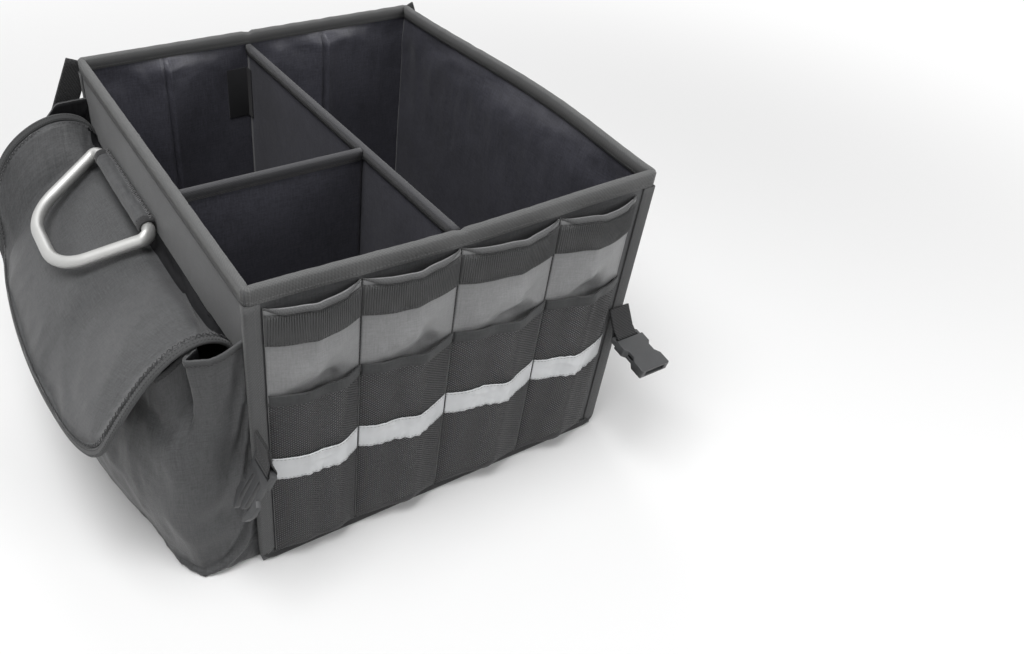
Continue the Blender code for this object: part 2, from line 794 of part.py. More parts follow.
def sleeve_sections(side):
    """Sections round the rod: a fabric tube with a flat back sewn to the wall."""
    half = SLEEVE_LENGTH / 2
    inner = ROD / 2 + ROD_CLEARANCE
    sections = []
    for index in range(20):
        angle = index * math.pi / 10
        reach = math.cos(angle)
        rise = math.sin(angle)
        outer_x = SLEEVE_OUTSIDE * reach
        outer_z = SLEEVE_OUTSIDE * rise
        if reach < 0:
            stretch = min(1 / max(abs(reach), 0.001), 1 / max(abs(rise), 0.001))
            outer_x *= stretch
            outer_z *= stretch
        spots = ((outer_x, -half, outer_z), (outer_x, half, outer_z),
                 (inner * reach, half, inner * rise), (inner * reach, -half, inner * rise))
        centre_x = side * (BOX_WIDTH / 2 + AXIS_OUT)
        sections.append([Vector((centre_x + side * x, HANDLE_Y + y, AXIS_Z + z)) for x, y, z in spots])
    return sections


def bend(before, corner, after, radius, count):
    """Arc that rounds one corner of a flat path."""
    back = (before - corner).normalized()
    ahead = (after - corner).normalized()
    half = back.angle(ahead) / 2
    centre = corner + (back + ahead).normalized() * radius / math.sin(half)
    start = corner + back * radius / math.tan(half) - centre
    end = corner + ahead * radius / math.tan(half) - centre
    turn = start.angle_signed(end)
    arc = []
    for index in range(count + 1):
        angle = -turn * index / count
        spot = Vector((start.x * math.cos(angle) - start.y * math.sin(angle),
                       start.x * math.sin(angle) + start.y * math.cos(angle)))
        arc.append(centre + spot)
    return arc


def handle_path():
    """Closed D path of the rod in its own plane: distance from the axis and place along it."""
    corners = [Vector((0, -HANDLE_BASE / 2)), Vector((HANDLE_REACH, -HANDLE_GRIP / 2)),
               Vector((HANDLE_REACH, HANDLE_GRIP / 2)), Vector((0, HANDLE_BASE / 2))]
    radii = [HANDLE_BEND_IN, HANDLE_BEND_OUT, HANDLE_BEND_OUT, HANDLE_BEND_IN]
    path = []
    for index, corner in enumerate(corners):
        before = corners[index - 1]
        after = corners[(index + 1) % 4]
        path += bend(before, corner, after, radii[index], 6)
    return path


def handle_samples():
    """Closely spaced points of the rod that lie beyond its sleeve."""
    path = handle_path()
    samples = []
    for index, spot in enumerate(path):
        following = path[(index + 1) % len(path)]
        samples += [spot.lerp(following, share) for share in (0.0, 0.2, 0.4, 0.6, 0.8)]
    return [spot for spot in samples if spot.x > ROD / 4]


def handle_rest_tilt():
    """Angle below level at which the left handle comes to lie on the flap."""
    samples = handle_samples()
    tilt = 0.0
    step = math.radians(0.25)
    reach = ROD / 2 + FLAP / 2 + HANDLE_REST_GAP
    while tilt < math.radians(80):
        angle = tilt + step
        for distance, along in samples:
            out = AXIS_OUT + distance * math.cos(angle)
            height = AXIS_Z - distance * math.sin(angle)
            for nearby in steps(-reach * 0.9, reach * 0.9, 6):
                drop = height - flap_height(HANDLE_Y + along, out - GAP + nearby)
                if math.hypot(nearby, max(drop, 0.0)) < reach:
                    return tilt
        tilt = angle
    return tilt


def build_handle(name, side, turn):
    """D handle bent from rod, with its origin on the axis of its sleeve."""
    path = handle_path()
    sections = []
    for index, spot in enumerate(path):
        along = (path[(index + 1) % len(path)] - path[index - 1]).normalized()
        sideways = Vector((along.y, -along.x))
        section = []
        for corner in range(10):
            angle = corner * math.pi / 5
            flat = spot + sideways * math.cos(angle) * ROD / 2
            section.append(Vector((side * flat.x, flat.y, math.sin(angle) * ROD / 2)))
        sections.append(section)
    obj = loft(name, "aluminium", sections, closed=True)
    obj.location = (side * (BOX_WIDTH / 2 + AXIS_OUT), HANDLE_Y, AXIS_Z)
    obj.rotation_euler = (0, turn, 0)


def build_handles():
    loft("handle_sleeve_left", "outer_cloth", sleeve_sections(-1), closed=True)
    loft("handle_sleeve_right", "outer_cloth", sleeve_sections(1), closed=True)
    build_handle("handle_left", -1, -handle_rest_tilt())
    build_handle("handle_right", 1, math.pi / 2)


def webbing_tab(name, eye, root, width_axis, eye_radius):
    """Webbing doubled round an eye, its two ends sewn together at the root."""
    toward = (root - eye).normalized()
    sideways = width_axis.cross(toward).normalized()
    length = (root - eye).length
    apex = eye_radius * 2.6
    outer = []
    inner = []
    for index in range(11):
        angle = math.radians(blend(-125, 125, index / 10))
        spoke = -toward * math.cos(angle) + sideways * math.sin(angle)
        outer.append(eye + spoke * (eye_radius + WEBBING))
        inner.append(eye + spoke * eye_radius)
    for side in (1, -1):
        outer.append(eye + toward * length + sideways * side * WEBBING)
        inner.append(eye + toward * apex + sideways * side * GAP)
    shift = width_axis.normalized() * WEBBING_WIDTH / 2
    sections = [[a - shift, a + shift, b + shift, b - shift] for a, b in zip(outer, inner)]
    loft(name, "webbing", sections, closed=True)


def buckle_end(length):
    """Half outline of a buckle's bar end, from the end of the bar to the body's side."""
    half = BUCKLE_WIDTH / 2
    return [(-BUCKLE_BAR / 2, half * 0.88), (-BUCKLE_BAR / 4, half), (length, half)]


def mirrored(half_outline):
    """Full outline from its upper half."""
    return half_outline + [(x, -y) for x, y in reversed(half_outline)]


def bar_slot(name):
    """Cutter for the slot that the webbing passes through."""
    half = BUCKLE_WIDTH / 2 - BUCKLE_RAIL
    outline = mirrored([(BUCKLE_BAR / 2, half), (BUCKLE_BODY_START, half)])
    return prism(name, "plastic", outline, SOCKET_PLATE * 2)


def place(obj, location, length_axis, width_axis):
    """Set an object whose local X is its length and local Y its width."""
    thick_axis = length_axis.cross(width_axis)
    turn = Matrix((length_axis, width_axis, thick_axis)).transposed().to_4x4()
    obj.matrix_world = Matrix.Translation(location) @ turn


def build_plug():
    """Plug with two sprung prongs and a guide between them."""
    half = BUCKLE_WIDTH / 2
    body_end = BUCKLE_BODY_START + 0.006
    prong_root = half * 0.62
    outline = buckle_end(body_end) + [
        (body_end + 0.004, prong_root + 0.0025), (PLUG_LENGTH * 0.52, prong_root + 0.0015),
        (PLUG_LENGTH * 0.58, half * 0.98), (PLUG_LENGTH * 0.76, half), (PLUG_LENGTH * 0.93, half * 0.72),
        (PLUG_LENGTH, half * 0.50), (PLUG_LENGTH * 0.93, half * 0.42), (PLUG_LENGTH * 0.70, half * 0.56),
        (body_end + 0.004, prong_root - 0.0025), (body_end + 0.001, half * 0.26),
        (PLUG_LENGTH * 0.80, half * 0.20), (PLUG_LENGTH * 0.86, half * 0.08),
    ]
    plug = prism("buckle_plug", "plastic", mirrored(outline), BUCKLE_PLATE)
    cut(plug, bar_slot("plug_slot"))
    spot = Vector((LEFT + WEBBING, FRONT - PLUG_BAR_OUT, PLUG_BAR_HEIGHT))
    down = Vector((-math.sin(PLUG_LEAN), 0, -math.cos(PLUG_LEAN)))
    place(plug, spot, down, Vector((0, 1, 0)))
    root_y = FRONT - 2 * GAP - CORNER_TAPE - WEBBING_WIDTH / 2
    root = Vector((LEFT + WEBBING, root_y, PLUG_TAB_HEIGHT))
    webbing_tab("plug_tab", spot, root, Vector((0, 1, 0)), BUCKLE_EYE)


def build_socket():
    """Socket with a hollow open at its mouth and a window in each side."""
    half = BUCKLE_WIDTH / 2
    outline = buckle_end(SOCKET_LENGTH * 0.36) + [
        (SOCKET_LENGTH * 0.44, half * 0.80), (SOCKET_LENGTH * 0.60, half * 0.80),
        (SOCKET_LENGTH * 0.72, half * 1.04), (SOCKET_LENGTH * 0.97, half * 1.04), (SOCKET_LENGTH, half),
    ]
    socket = prism("buckle_socket", "plastic", mirrored(outline), SOCKET_PLATE)
    cut(socket, bar_slot("socket_slot"))
    inside = SOCKET_PLATE / 2 - SOCKET_SHELL
    hollow_start = BUCKLE_BODY_START + 0.010
    mouth = prism("socket_hollow", "plastic",
                  mirrored([(hollow_start, half * 0.72), (SOCKET_LENGTH * 1.2, half * 0.72)]), inside * 2)
    cut(socket, mouth)
    window = prism("socket_windows", "plastic",
                   mirrored([(SOCKET_LENGTH * 0.46, half * 1.3), (SOCKET_LENGTH * 0.62, half * 1.3)]),
                   inside)
    cut(socket, window)
    lift = (SOCKET_PLATE + BUCKLE_PLATE) / 2
    for side, name in ((1, "socket_step_top"), (-1, "socket_step_bottom")):
        step = prism(name, "plastic",
                     mirrored([(-BUCKLE_BAR * 2, half * 1.3), (BUCKLE_BODY_START, half * 1.3)]),
                     SOCKET_PLATE)
        step.location = (0, 0, side * lift)
        cut(socket, step)
    spot = Vector((RIGHT - SOCKET_BAR_FROM_RIGHT, FRONT - SOCKET_BAR_OUT, SOCKET_BAR_HEIGHT))
    outward = Vector((0, -math.cos(SOCKET_PITCH), -math.sin(SOCKET_PITCH)))
    place(socket, spot, outward, Vector((1, 0, 0)))
    root = Vector((spot.x, FRONT - 2 * GAP - CORNER_TAPE - WEBBING, SOCKET_TAB_HEIGHT))
    webbing_tab("socket_tab", spot, root, Vector((1, 0, 0)), BUCKLE_EYE)


def build_rear_tabs():
    """Webbing loops that hang from the back corners of the rim and take the tie down hooks."""
    for name, side in (("rear_tab_left", -1), ("rear_tab_right", 1)):
        root_y = BACK + 2 * GAP + TAPE + WEBBING
        root = Vector((side * BOX_WIDTH / 2, root_y, BOX_HEIGHT - REAR_TAB_BELOW_RIM))
        fall = Vector((side * math.sin(REAR_TAB_LEAN), 0, -math.cos(REAR_TAB_LEAN)))
        back_shift = Vector((0, REAR_TAB_EYE, 0))
        eye = root + fall * REAR_TAB_LENGTH + back_shift
        across = Vector((math.cos(REAR_TAB_LEAN), 0, side * math.sin(REAR_TAB_LEAN)))
        webbing_tab(name, eye, root, across, REAR_TAB_EYE)


def build_organizer():
    clear_scene()
    build_base()
    build_walls()
    build_rim_binding()
    build_corner_bindings()
    build_bottom_binding()
    build_dividers()
    build_hook_tabs()
    build_front_pockets()
    build_side_pocket()
    build_flap()
    build_handles()
    build_plug()
    build_socket()
    build_rear_tabs()


build_organizer()
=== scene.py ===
"""Looks of the fabric car organizer: cloth, tape, nets, webbing, buckles and handles."""

import json
import math

import bmesh
import bpy
import numpy as np
from mathutils import Matrix, Vector, noise


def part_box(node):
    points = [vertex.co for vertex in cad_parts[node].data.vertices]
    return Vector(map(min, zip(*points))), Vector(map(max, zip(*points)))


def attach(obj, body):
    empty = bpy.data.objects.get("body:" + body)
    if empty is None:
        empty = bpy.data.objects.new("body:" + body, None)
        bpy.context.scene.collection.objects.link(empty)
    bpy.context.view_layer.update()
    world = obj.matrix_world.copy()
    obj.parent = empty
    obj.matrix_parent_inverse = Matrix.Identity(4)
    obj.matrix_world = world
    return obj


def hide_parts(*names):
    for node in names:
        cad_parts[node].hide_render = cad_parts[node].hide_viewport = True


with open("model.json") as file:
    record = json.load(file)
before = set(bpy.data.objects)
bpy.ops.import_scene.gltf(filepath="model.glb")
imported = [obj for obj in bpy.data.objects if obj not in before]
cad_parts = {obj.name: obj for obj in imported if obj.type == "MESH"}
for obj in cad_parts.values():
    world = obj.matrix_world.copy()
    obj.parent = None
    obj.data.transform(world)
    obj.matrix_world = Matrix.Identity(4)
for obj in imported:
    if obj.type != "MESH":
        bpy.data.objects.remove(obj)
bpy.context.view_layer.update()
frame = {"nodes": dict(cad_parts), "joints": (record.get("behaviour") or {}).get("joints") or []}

# Box, read from the frame
front_low, front_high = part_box("front_wall")
back_low, back_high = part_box("back_wall")
LEFT = front_low.x
RIGHT = front_high.x
FRONT = front_low.y
BACK = back_high.y
WALL = 0.0045
WALL_TOP = back_high.z

# Way the front pockets face, and how far a stitch row stands off its cloth
FORWARD = Vector((0, -1, 0))
PROUD = FORWARD * 0.0002

# Rim and walls
FRONT_DIP = 0.004
FOLD_X = LEFT + 0.190
FOLD_HALF = 0.0025
RIM_BOW = 0.012
RIM_BOW_HEIGHT = 0.055
RIM_BOW_SKEW = 0.78
RIM_LEG_OUT = 0.013
RIM_LEG_IN = 0.011
TAPE = 0.0012
GAP = 0.0003
RIM_CORNER = 0.005
RIM_CREST = 0.0024
RIM_NOTCH = 0.0022
LONG_TUCKS = (0.088, 0.282)
LEFT_TUCKS = (0.148, 0.292)
PANEL_SWELL = 0.0150
TUCK_LENGTH = 0.022
CREASE_HALF = 0.0019

# Edge tape of the front and back panels
EDGE_LEG = 0.0115
EDGE_SIDE_LEG = 0.006
EDGE_THICK = 0.0015
EDGE_CORNER = 0.013
EDGE_FOOT = 0.0024

# Front pockets, seams measured from the left edge of the box
POCKET_SEAMS = (0.0125, 0.097, 0.190, 0.2925, 0.3815)
COLUMNS = len(POCKET_SEAMS) - 1
SEAM_HALF = 0.0006
POCKET_FOOT = 0.0105
FOOT_ROUNDING = 0.018
FABRIC = 0.0012
FABRIC_DEPTH_LOW = 0.0054
FABRIC_DEPTH_TOP = 0.0095
SWELL_LENGTH = 0.032
BELLY_POWER = 0.8
MESH_DEPTH = 0.0054
MESH_TOP = 0.204
MESH_THICK = 0.0007
MESH_CELL_WIDE = 0.0018
MESH_CELL_TALL = 0.0014
MESH_HOLE = 0.68
NET_RIDGES = (0.78, 0.62, 0.62, 0.50)
HEM_HEIGHT = 0.0122
STRIP_HEIGHT = 0.030
RIB_PITCH = 0.0020
BAND_BOTTOM = 0.115
BAND_HEIGHT = 0.026
POCKET_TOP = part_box("fabric_pocket_1")[1].z
LIP_HEIGHT = 0.0058
DENT_SHARES = (0.64, 0.66, 0.56, 0.50)
RIDGE_SHARES = (0.36, 0.40, 0.46, 0.34)

# Side pocket and flap on the left wall
SIDE_START = FRONT + 0.0078
SIDE_END = BACK - 0.0078
SIDE_LIFT = 0.0005
SIDE_CLOTH = 0.0015
GUSSET_DEPTH = 0.057
GUSSET_SWELL = 0.009
GUSSET_SHARE = 0.14
SIDE_DEPTH = 0.087
SIDE_SWELL = 0.038
SIDE_SWELL_HEIGHT = 0.210
FRONT_GUSSET_TOP = 0.272
FRONT_GUSSET_FALL = 0.014
CORNER_TUCK = 0.017
# Width of the near-black strip along the flap's seam with the left wall: painted shadow
FLAP_SEAM_SHADOW_WIDTH = 0.0085
REAR_GUSSET_TOP = 0.283
SEAM_Z = 0.240
FLAP = 0.0025
FLAP_FALL = 0.105
FLAP_REACH = 0.138
FLAP_REACH_LOSS = 0.020
FLAP_POWER = 1.45
FLAP_POWER_FRONT = 2.0
FLAP_POWER_REAR = 4.2
FLAP_FRONT = FRONT + 0.030
FLAP_REAR = BACK - 0.019
FLAP_CORNER_FRONT = 0.052
FLAP_CORNER_REAR = 0.040
FLAP_CORNER_START = 0.55
FLAP_LAST_ROW = 0.93
FLAP_ROUND = 0.150
FLAP_ROUND_SHARE = 0.17
FLAP_RISE = 0.035
FLAP_RISE_FRONT = 0.70
FLAP_RISE_REACH = 0.120
FLAP_RISE_SKEW = 0.6
FLAP_TUCK = 0.006
BINDING_WIDTH = 0.008
BINDING = 0.0042

# Handles and sleeves
ROD = 0.0125
HANDLE_BASE = 0.180
HANDLE_GRIP = 0.100
HANDLE_REACH = 0.092
HANDLE_BEND_OUT = 0.050
HANDLE_BEND_IN = 0.008
SLEEVE_LENGTH = 0.150
SLEEVE_OUTSIDE = 0.00865
SLEEVE_INSIDE = 0.0067
HANDLE_Y = FRONT + 0.293
AXIS_OUT = 0.00895
AXIS_Z = 0.2502
LEFT_HANDLE_TILT = math.radians(23.5)

# Webbing
WEBBING = 0.0013
WEBBING_WIDTH = 0.025
BUCKLE_EYE = 0.0035
PLUG_TAB_RISE = 0.025
SOCKET_TAB_RISE = 0.026
REAR_TAB_LENGTH = 0.088
REAR_TAB_LEAN = math.radians(23)
REAR_TAB_EYE = 0.008
REAR_TAB_BELOW_RIM = 0.004

# Stitches
STITCH_PITCH = 0.0034
STITCH_LENGTH = 0.0024
STITCH_THICK = 0.00042

# Camera, at the photograph's view
CAMERA_PLACE = (-0.3758, -0.7051, 0.7170)
CAMERA_TURN = (0.8753, -0.0457, -0.5193)
CAMERA_LENS = 31.147
CAMERA_SHIFT = 0.1206

# Studio; each lamp has a place, a target, a size in metres and a power in watts
LAMPS = (("key", (-0.65, -0.30, 2.0), (-0.1, 0, 0.15), 1.1, 35),
         ("fill", (0.9, -1.5, 0.9), (0.05, -0.2, 0.15), 0.9, 11.5),
         ("rear", (0.4, 1.6, 1.5), (0, 0, 0.2), 1.1, 9))
FLOOR_BOUNCE = 0.5
FLOOR_NEAR = 0.55
FLOOR_FAR = 1.7
WORLD_LEVEL = 0.30

# Colours
CHARCOAL = (0.062, 0.063, 0.065)
POCKET_GREY = (0.220, 0.221, 0.224)
NAVY = (0.048, 0.048, 0.060)
TAPE_GREY = (0.094, 0.095, 0.096)
SILVER = (0.60, 0.61, 0.62)
BLACK = (0.036, 0.036, 0.037)
FLOOR_PALE = (0.86, 0.86, 0.86)


def add_node(tree, kind, inputs=None, **settings):
    """Node with its settings; an input given as (node, output) is linked, any other is a plain value."""
    node = tree.nodes.new(kind)
    for key, value in settings.items():
        setattr(node, key, value)
    for key, value in (inputs or {}).items():
        if isinstance(value, tuple) and isinstance(value[0], bpy.types.Node):
            tree.links.new(value[0].outputs[value[1]], node.inputs[key])
        else:
            node.inputs[key].default_value = value
    return node


def math_node(tree, operation, *values):
    """Output of a math node over outputs and numbers."""
    return add_node(tree, "ShaderNodeMath", dict(enumerate(values)), operation=operation), 0


class Look:
    """A Principled material, put together from the outputs of its nodes."""

    def __init__(self, name, colour, roughness, metallic=0.0, sheen=0.0, specular=0.5):
        self.material = bpy.data.materials.new(name)
        self.material.use_nodes = True
        self.tree = self.material.node_tree
        self.shader = self.tree.nodes["Principled BSDF"]
        self.colour = colour
        for label, value in {"Base Color": (*colour, 1.0), "Roughness": roughness, "Metallic": metallic,
                             "Specular IOR Level": specular, "Sheen Weight": sheen,
                             "Sheen Roughness": 0.45}.items():
            self.shader.inputs[label].default_value = value
        self.space = add_node(self.tree, "ShaderNodeTexCoord")

    def link(self, label, output):
        """Link an output to an input of the shader."""
        self.tree.links.new(output[0].outputs[output[1]], self.shader.inputs[label])

    def combine(self, operation, *values):
        return math_node(self.tree, operation, *values)

    def threads(self, period, direction):
        """Rows of threads with a real spacing along one direction of the cloth."""
        return add_node(self.tree, "ShaderNodeTexWave",
                        {"Vector": (self.space, "UV"), "Scale": math.pi / 10 / period, "Distortion": 0.0},
                        wave_type="BANDS", bands_direction=direction, wave_profile="SIN"), "Fac"

    def mottle(self, scale, detail=3.0, place=None):
        """Slow variation over the cloth."""
        return add_node(self.tree, "ShaderNodeTexNoise",
                        {"Vector": place or (self.space, "Object"), "Scale": scale, "Detail": detail,
                         "Roughness": 0.55}, noise_dimensions="3D"), "Fac"

    def streaks(self, across, along):
        """Thick and thin places of the threads in one direction of the cloth."""
        stretched = add_node(self.tree, "ShaderNodeMapping",
                             {"Vector": (self.space, "UV"), "Scale": (across, along, 1.0)})
        return self.mottle(1.0, 1.0, (stretched, "Vector"))

    def shade(self, factor, dark, light):
        """Colour that varies between a darker and a lighter value of the same cloth."""
        tones = [(*[part * level for part in self.colour], 1.0) for level in (dark, light)]
        self.link("Base Color", (add_node(self.tree, "ShaderNodeMix", {0: factor, 6: tones[0], 7: tones[1]},
                                          data_type="RGBA"), 2))

    def polish(self, factor, low, high):
        """Roughness that varies between two values."""
        self.link("Roughness", (add_node(self.tree, "ShaderNodeMapRange", {
            "Value": factor, "To Min": low, "To Max": high}), "Result"))

    def emboss(self, *reliefs):
        """Chain of bumps: each relief is an output, a depth in metres and a strength."""
        before = {}
        for height, depth, strength in reliefs:
            bump = add_node(self.tree, "ShaderNodeBump", {
                "Height": height, "Distance": depth, "Strength": strength, **before})
            before = {"Normal": (bump, "Normal")}
        self.link("Normal", before["Normal"])
        return self.material


def cloth_look(name, colour, roughness, sheen, period=0.0011, relief=0.00010, crumple=0.0005, specular=0.35,
               contrast=0.30):
    """Coated plain weave: fine threads both ways, a soft sheen and slight crumpling."""
    look = Look(name, colour, roughness, sheen=sheen, specular=specular)
    weave = look.combine("MULTIPLY", look.threads(period, "X"), look.threads(period * 0.86, "Y"))
    slow = look.mottle(14)
    slubs = look.combine("ADD", look.streaks(60, 950), look.streaks(950, 60))
    shade = look.combine("ADD", look.combine("ADD", slow, look.mottle(520, 2.0)), slubs)
    look.shade(look.combine("MULTIPLY_ADD", shade, 1.25, -2.0), 1 - contrast, 1 + contrast)
    look.polish(slow, roughness - 0.08, roughness + 0.10)
    return look.emboss((look.mottle(55, 4.0), crumple, 0.5), (weave, relief, 0.8))


def tape_look(name, colour, roughness=0.78, period=0.0012):
    """Grosgrain tape: ribs across its length over a fuzzy surface."""
    look = Look(name, colour, roughness, sheen=0.15, specular=0.25)
    slant = look.combine("MULTIPLY", look.threads(period * 1.3, "DIAGONAL"), 0.5)
    weave = look.combine("ADD", look.threads(period, "X"), slant)
    fuzz = look.mottle(900, 2.0)
    slow = look.combine("MULTIPLY", look.mottle(30), 0.25)
    look.shade(look.combine("ADD", look.combine("MULTIPLY", weave, fuzz), slow), 0.70, 1.30)
    return look.emboss((weave, 0.00022, 0.9), (fuzz, 0.00012, 0.5))


def net_look():
    """Knitted polyester net, dark and slightly glossy."""
    look = Look("knitted net", BLACK, 0.55, sheen=0.10, specular=0.4)
    fine = look.mottle(700, 2.0)
    look.shade(fine, 0.6, 1.5)
    return look.emboss((fine, 0.0002, 0.6))


def reflective_look():
    """Silver reflective tape with a fine bead texture and soft creases."""
    look = Look("reflective tape", SILVER, 0.36, metallic=0.15)
    slow = look.mottle(60)
    edge = look.combine("MULTIPLY", look.threads(BAND_HEIGHT, "Y"), 0.2)
    look.shade(look.combine("ADD", slow, edge), 0.86, 1.14)
    look.polish(slow, 0.28, 0.46)
    return look.emboss((slow, 0.0006, 0.5), (look.mottle(1400, 1.0), 0.00006, 0.5))


def webbing_look():
    """Flat woven webbing with a herringbone rib and a fuzzy surface."""
    look = Look("woven webbing", BLACK, 0.8, sheen=0.12, specular=0.25)
    weave = look.combine("ADD", look.threads(0.0016, "X"), look.threads(0.0018, "DIAGONAL"))
    fuzz = look.mottle(900, 2.0)
    look.shade(look.combine("MULTIPLY", weave, fuzz), 0.62, 1.35)
    return look.emboss((weave, 0.0003, 0.9), (fuzz, 0.0001, 0.5))


def plastic_look():
    """Moulded plastic with a fine spark texture and a slow change in tone and gloss."""
    look = Look("moulded plastic", (0.050, 0.051, 0.053), 0.38)
    slow = look.mottle(90)
    look.shade(slow, 0.85, 1.2)
    look.polish(slow, 0.34, 0.52)
    return look.emboss((look.mottle(1500, 2.0), 0.00006, 0.5))


def aluminium_look():
    """Satin anodised tube: fine drawn lines and a soft shine."""
    look = Look("satin aluminium", (0.52, 0.52, 0.51), 0.48, metallic=0.70, specular=0.3)
    slow = look.mottle(45)
    look.shade(slow, 0.93, 1.05)
    look.polish(slow, 0.42, 0.56)
    return look.emboss((look.threads(0.0005, "Y"), 0.00001, 0.4), (slow, 0.0001, 0.2))


def thread_look(name, colour):
    look = Look(name, colour, 0.7, sheen=0.2)
    fuzz = look.mottle(1200, 2.0)
    look.shade(fuzz, 0.8, 1.25)
    return look.emboss((fuzz, 0.0001, 0.4))


OUTER = cloth_look("charcoal cloth", CHARCOAL, 0.50, 0.16)
INNER = cloth_look("navy lining", NAVY, 0.38, 0.10, 0.0013, 0.00008, 0.0010, 0.45)
POCKET = cloth_look("pocket cloth", POCKET_GREY, 0.36, 0.16, 0.0010, 0.00008, 0.0009, 0.5, 0.13)
SLEEVE = cloth_look("sleeve cloth", CHARCOAL, 0.46, 0.14, 0.0011, 0.00010, 0.0016)
# Lighter copy of the pocket cloth for behind the nets: painted light, so that the holes show lit cloth
PAINTED_LIGHT_BEHIND_NET = cloth_look("pocket cloth painted lighter behind the net", (0.46, 0.46, 0.465), 0.45, 0.10, 0.0010, 0.00008, 0.0009,
                        0.35, 0.13)
HEM = cloth_look("hem cloth", (0.036, 0.037, 0.038), 0.60, 0.12, 0.0010, 0.00009, 0.0004, 0.3)
# Near-black cloth that is painted shade: the inside of the side pocket, the flap's underside and a painted
# shadow along the flap's seam
SHADE = cloth_look("painted shade lining", (0.010, 0.010, 0.011), 0.70, 0.0, 0.0012, 0.00008, 0.0005, 0.15)
TAPE_LOOK = tape_look("binding tape", TAPE_GREY)
DARK_TAPE = tape_look("dark binding tape", (0.030, 0.030, 0.031))
BOARD_TAPE = tape_look("divider tape", (0.052, 0.052, 0.056), 0.70, 0.0010)
RIM_LOOK = tape_look("rim tape", (0.112, 0.113, 0.113))
FLAP_TAPE = tape_look("flap binding tape", (0.062, 0.063, 0.064), 0.72, 0.0010)
LOOP = tape_look("ribbed loop tape", (0.092, 0.093, 0.094), 0.85, 0.0007)
TAB_LOOK = tape_look("dark loop tape", (0.016, 0.016, 0.018), 0.85, 0.0009)
NET = net_look()
REFLECTIVE = reflective_look()
WEB = webbing_look()
PLASTIC = plastic_look()
ALUMINIUM = aluminium_look()
THREAD = thread_look("grey thread", (0.12, 0.12, 0.122))
PALE_THREAD = thread_look("pale thread", (0.26, 0.26, 0.262))
DARK_THREAD = thread_look("dark thread", (0.018, 0.018, 0.019))


def put(name, data):
    """New object in the scene."""
    obj = bpy.data.objects.new(name, data)
    bpy.context.scene.collection.objects.link(obj)
    return obj


def make_piece(name, points, faces, corner_uvs, looks, face_looks=None, outward=None):
    """Mesh object from points, faces and the cloth coordinates of each face corner, in metres."""
    mesh = bpy.data.meshes.new(name)
    mesh.from_pydata([tuple(point) for point in points], [], faces)
    layer = mesh.uv_layers.new(name="UVMap")
    layer.data.foreach_set("uv", np.array(corner_uvs, np.float32).ravel())
    for look in looks:
        mesh.materials.append(look)
    if face_looks is not None:
        mesh.polygons.foreach_set("material_index", np.array(face_looks, np.int32))
    if outward is not None:
        total = sum((Vector(face.normal) * face.area for face in mesh.polygons), Vector())
        if total.dot(Vector(outward)) < 0:
            mesh.flip_normals()
    mesh.shade_smooth()
    return put(name, mesh)


def turn_outward(obj):
    """Point the faces of a closed piece outward."""
    shape = bmesh.new()
    shape.from_mesh(obj.data)
    bmesh.ops.recalc_face_normals(shape, faces=shape.faces)
    shape.to_mesh(obj.data)
    shape.free()
    return obj


def bake(obj):
    """Turn a piece's live modifiers into its plain mesh."""
    graph = bpy.context.evaluated_depsgraph_get()
    mesh = bpy.data.meshes.new_from_object(obj.evaluated_get(graph), preserve_all_data_layers=True,
                                           depsgraph=graph)
    obj.modifiers.clear()
    obj.data = mesh
    return obj


def settle(obj, nodes, body="organizer"):
    """Hand a finished piece to the frame."""
    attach(obj, body)
    if nodes:
        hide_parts(*nodes)
    return obj


def thicken(obj, thickness, lining=None):
    """Give an open sheet its thickness, with its own lining if it has one, and make it plain mesh."""
    if lining is not None:
        obj.data.materials.append(lining)
    solid = obj.modifiers.new("thickness", "SOLIDIFY")
    solid.thickness = thickness
    solid.offset = -1.0
    solid.material_offset = 0 if lining is None else len(obj.data.materials) - 1
    return bake(obj)


def second_look(obj, look, chosen):
    """Give the faces whose middles are chosen a second look."""
    obj.data.materials.append(look)
    for face in obj.data.polygons:
        face.material_index = 1 if chosen(face.center) else 0


def grid_faces(columns, rows, width, height):
    """Faces of a grid and their corner coordinates over a cloth of a real width and height."""
    faces = []
    uvs = []
    for row in range(rows - 1):
        for column in range(columns - 1):
            a = row * columns + column
            faces.append((a, a + 1, a + 1 + columns, a + columns))
            for step_u, step_v in ((0, 0), (1, 0), (1, 1), (0, 1)):
                uvs.append(((column + step_u) / (columns - 1) * width,
                            (row + step_v) / (rows - 1) * height))
    return faces, uvs


def sheet(name, columns, rows, place, size, look, outward=(0, -1, 0), thickness=None):
    """Grid of cloth: place takes shares across and up, size is its width and height in metres."""
    points = [place(column / (columns - 1), row / (rows - 1))
              for row in range(rows) for column in range(columns)]
    faces, uvs = grid_faces(columns, rows, *size)
    obj = make_piece(name, points, faces, uvs, [look], outward=outward)
    return thicken(obj, thickness) if thickness else obj


def board(name, columns, rows, spot, size, looks, side):
    """Closed board of two grids back to back, the second in the last look, joined round their border."""
    points = [spot(column, row, inside)
              for inside in (0, 1) for row in range(rows) for column in range(columns)]
    faces, uvs = grid_faces(columns, rows, *size)
    back = columns * rows
    far = [tuple(back + index for index in reversed(face)) for face in faces]
    far_uvs = [uv for start in range(0, len(uvs), 4) for uv in reversed(uvs[start:start + 4])]
    border = list(range(columns)) + [row * columns + columns - 1 for row in range(1, rows)]
    border += [(rows - 1) * columns + column for column in range(columns - 2, -1, -1)]
    border += [row * columns for row in range(rows - 2, 0, -1)]
    sides = [(a, b, back + b, back + a) for a, b in zip(border, border[1:] + border[:1])]
    side_uvs = [(0, 0), (side, 0), (side, side), (0, side)] * len(sides)
    face_looks = [0] * len(faces) + [len(looks) - 1] * len(far) + [0] * len(sides)
    return turn_outward(make_piece(name, points, faces + far + sides, uvs + far_uvs + side_uvs, looks,
                                   face_looks))


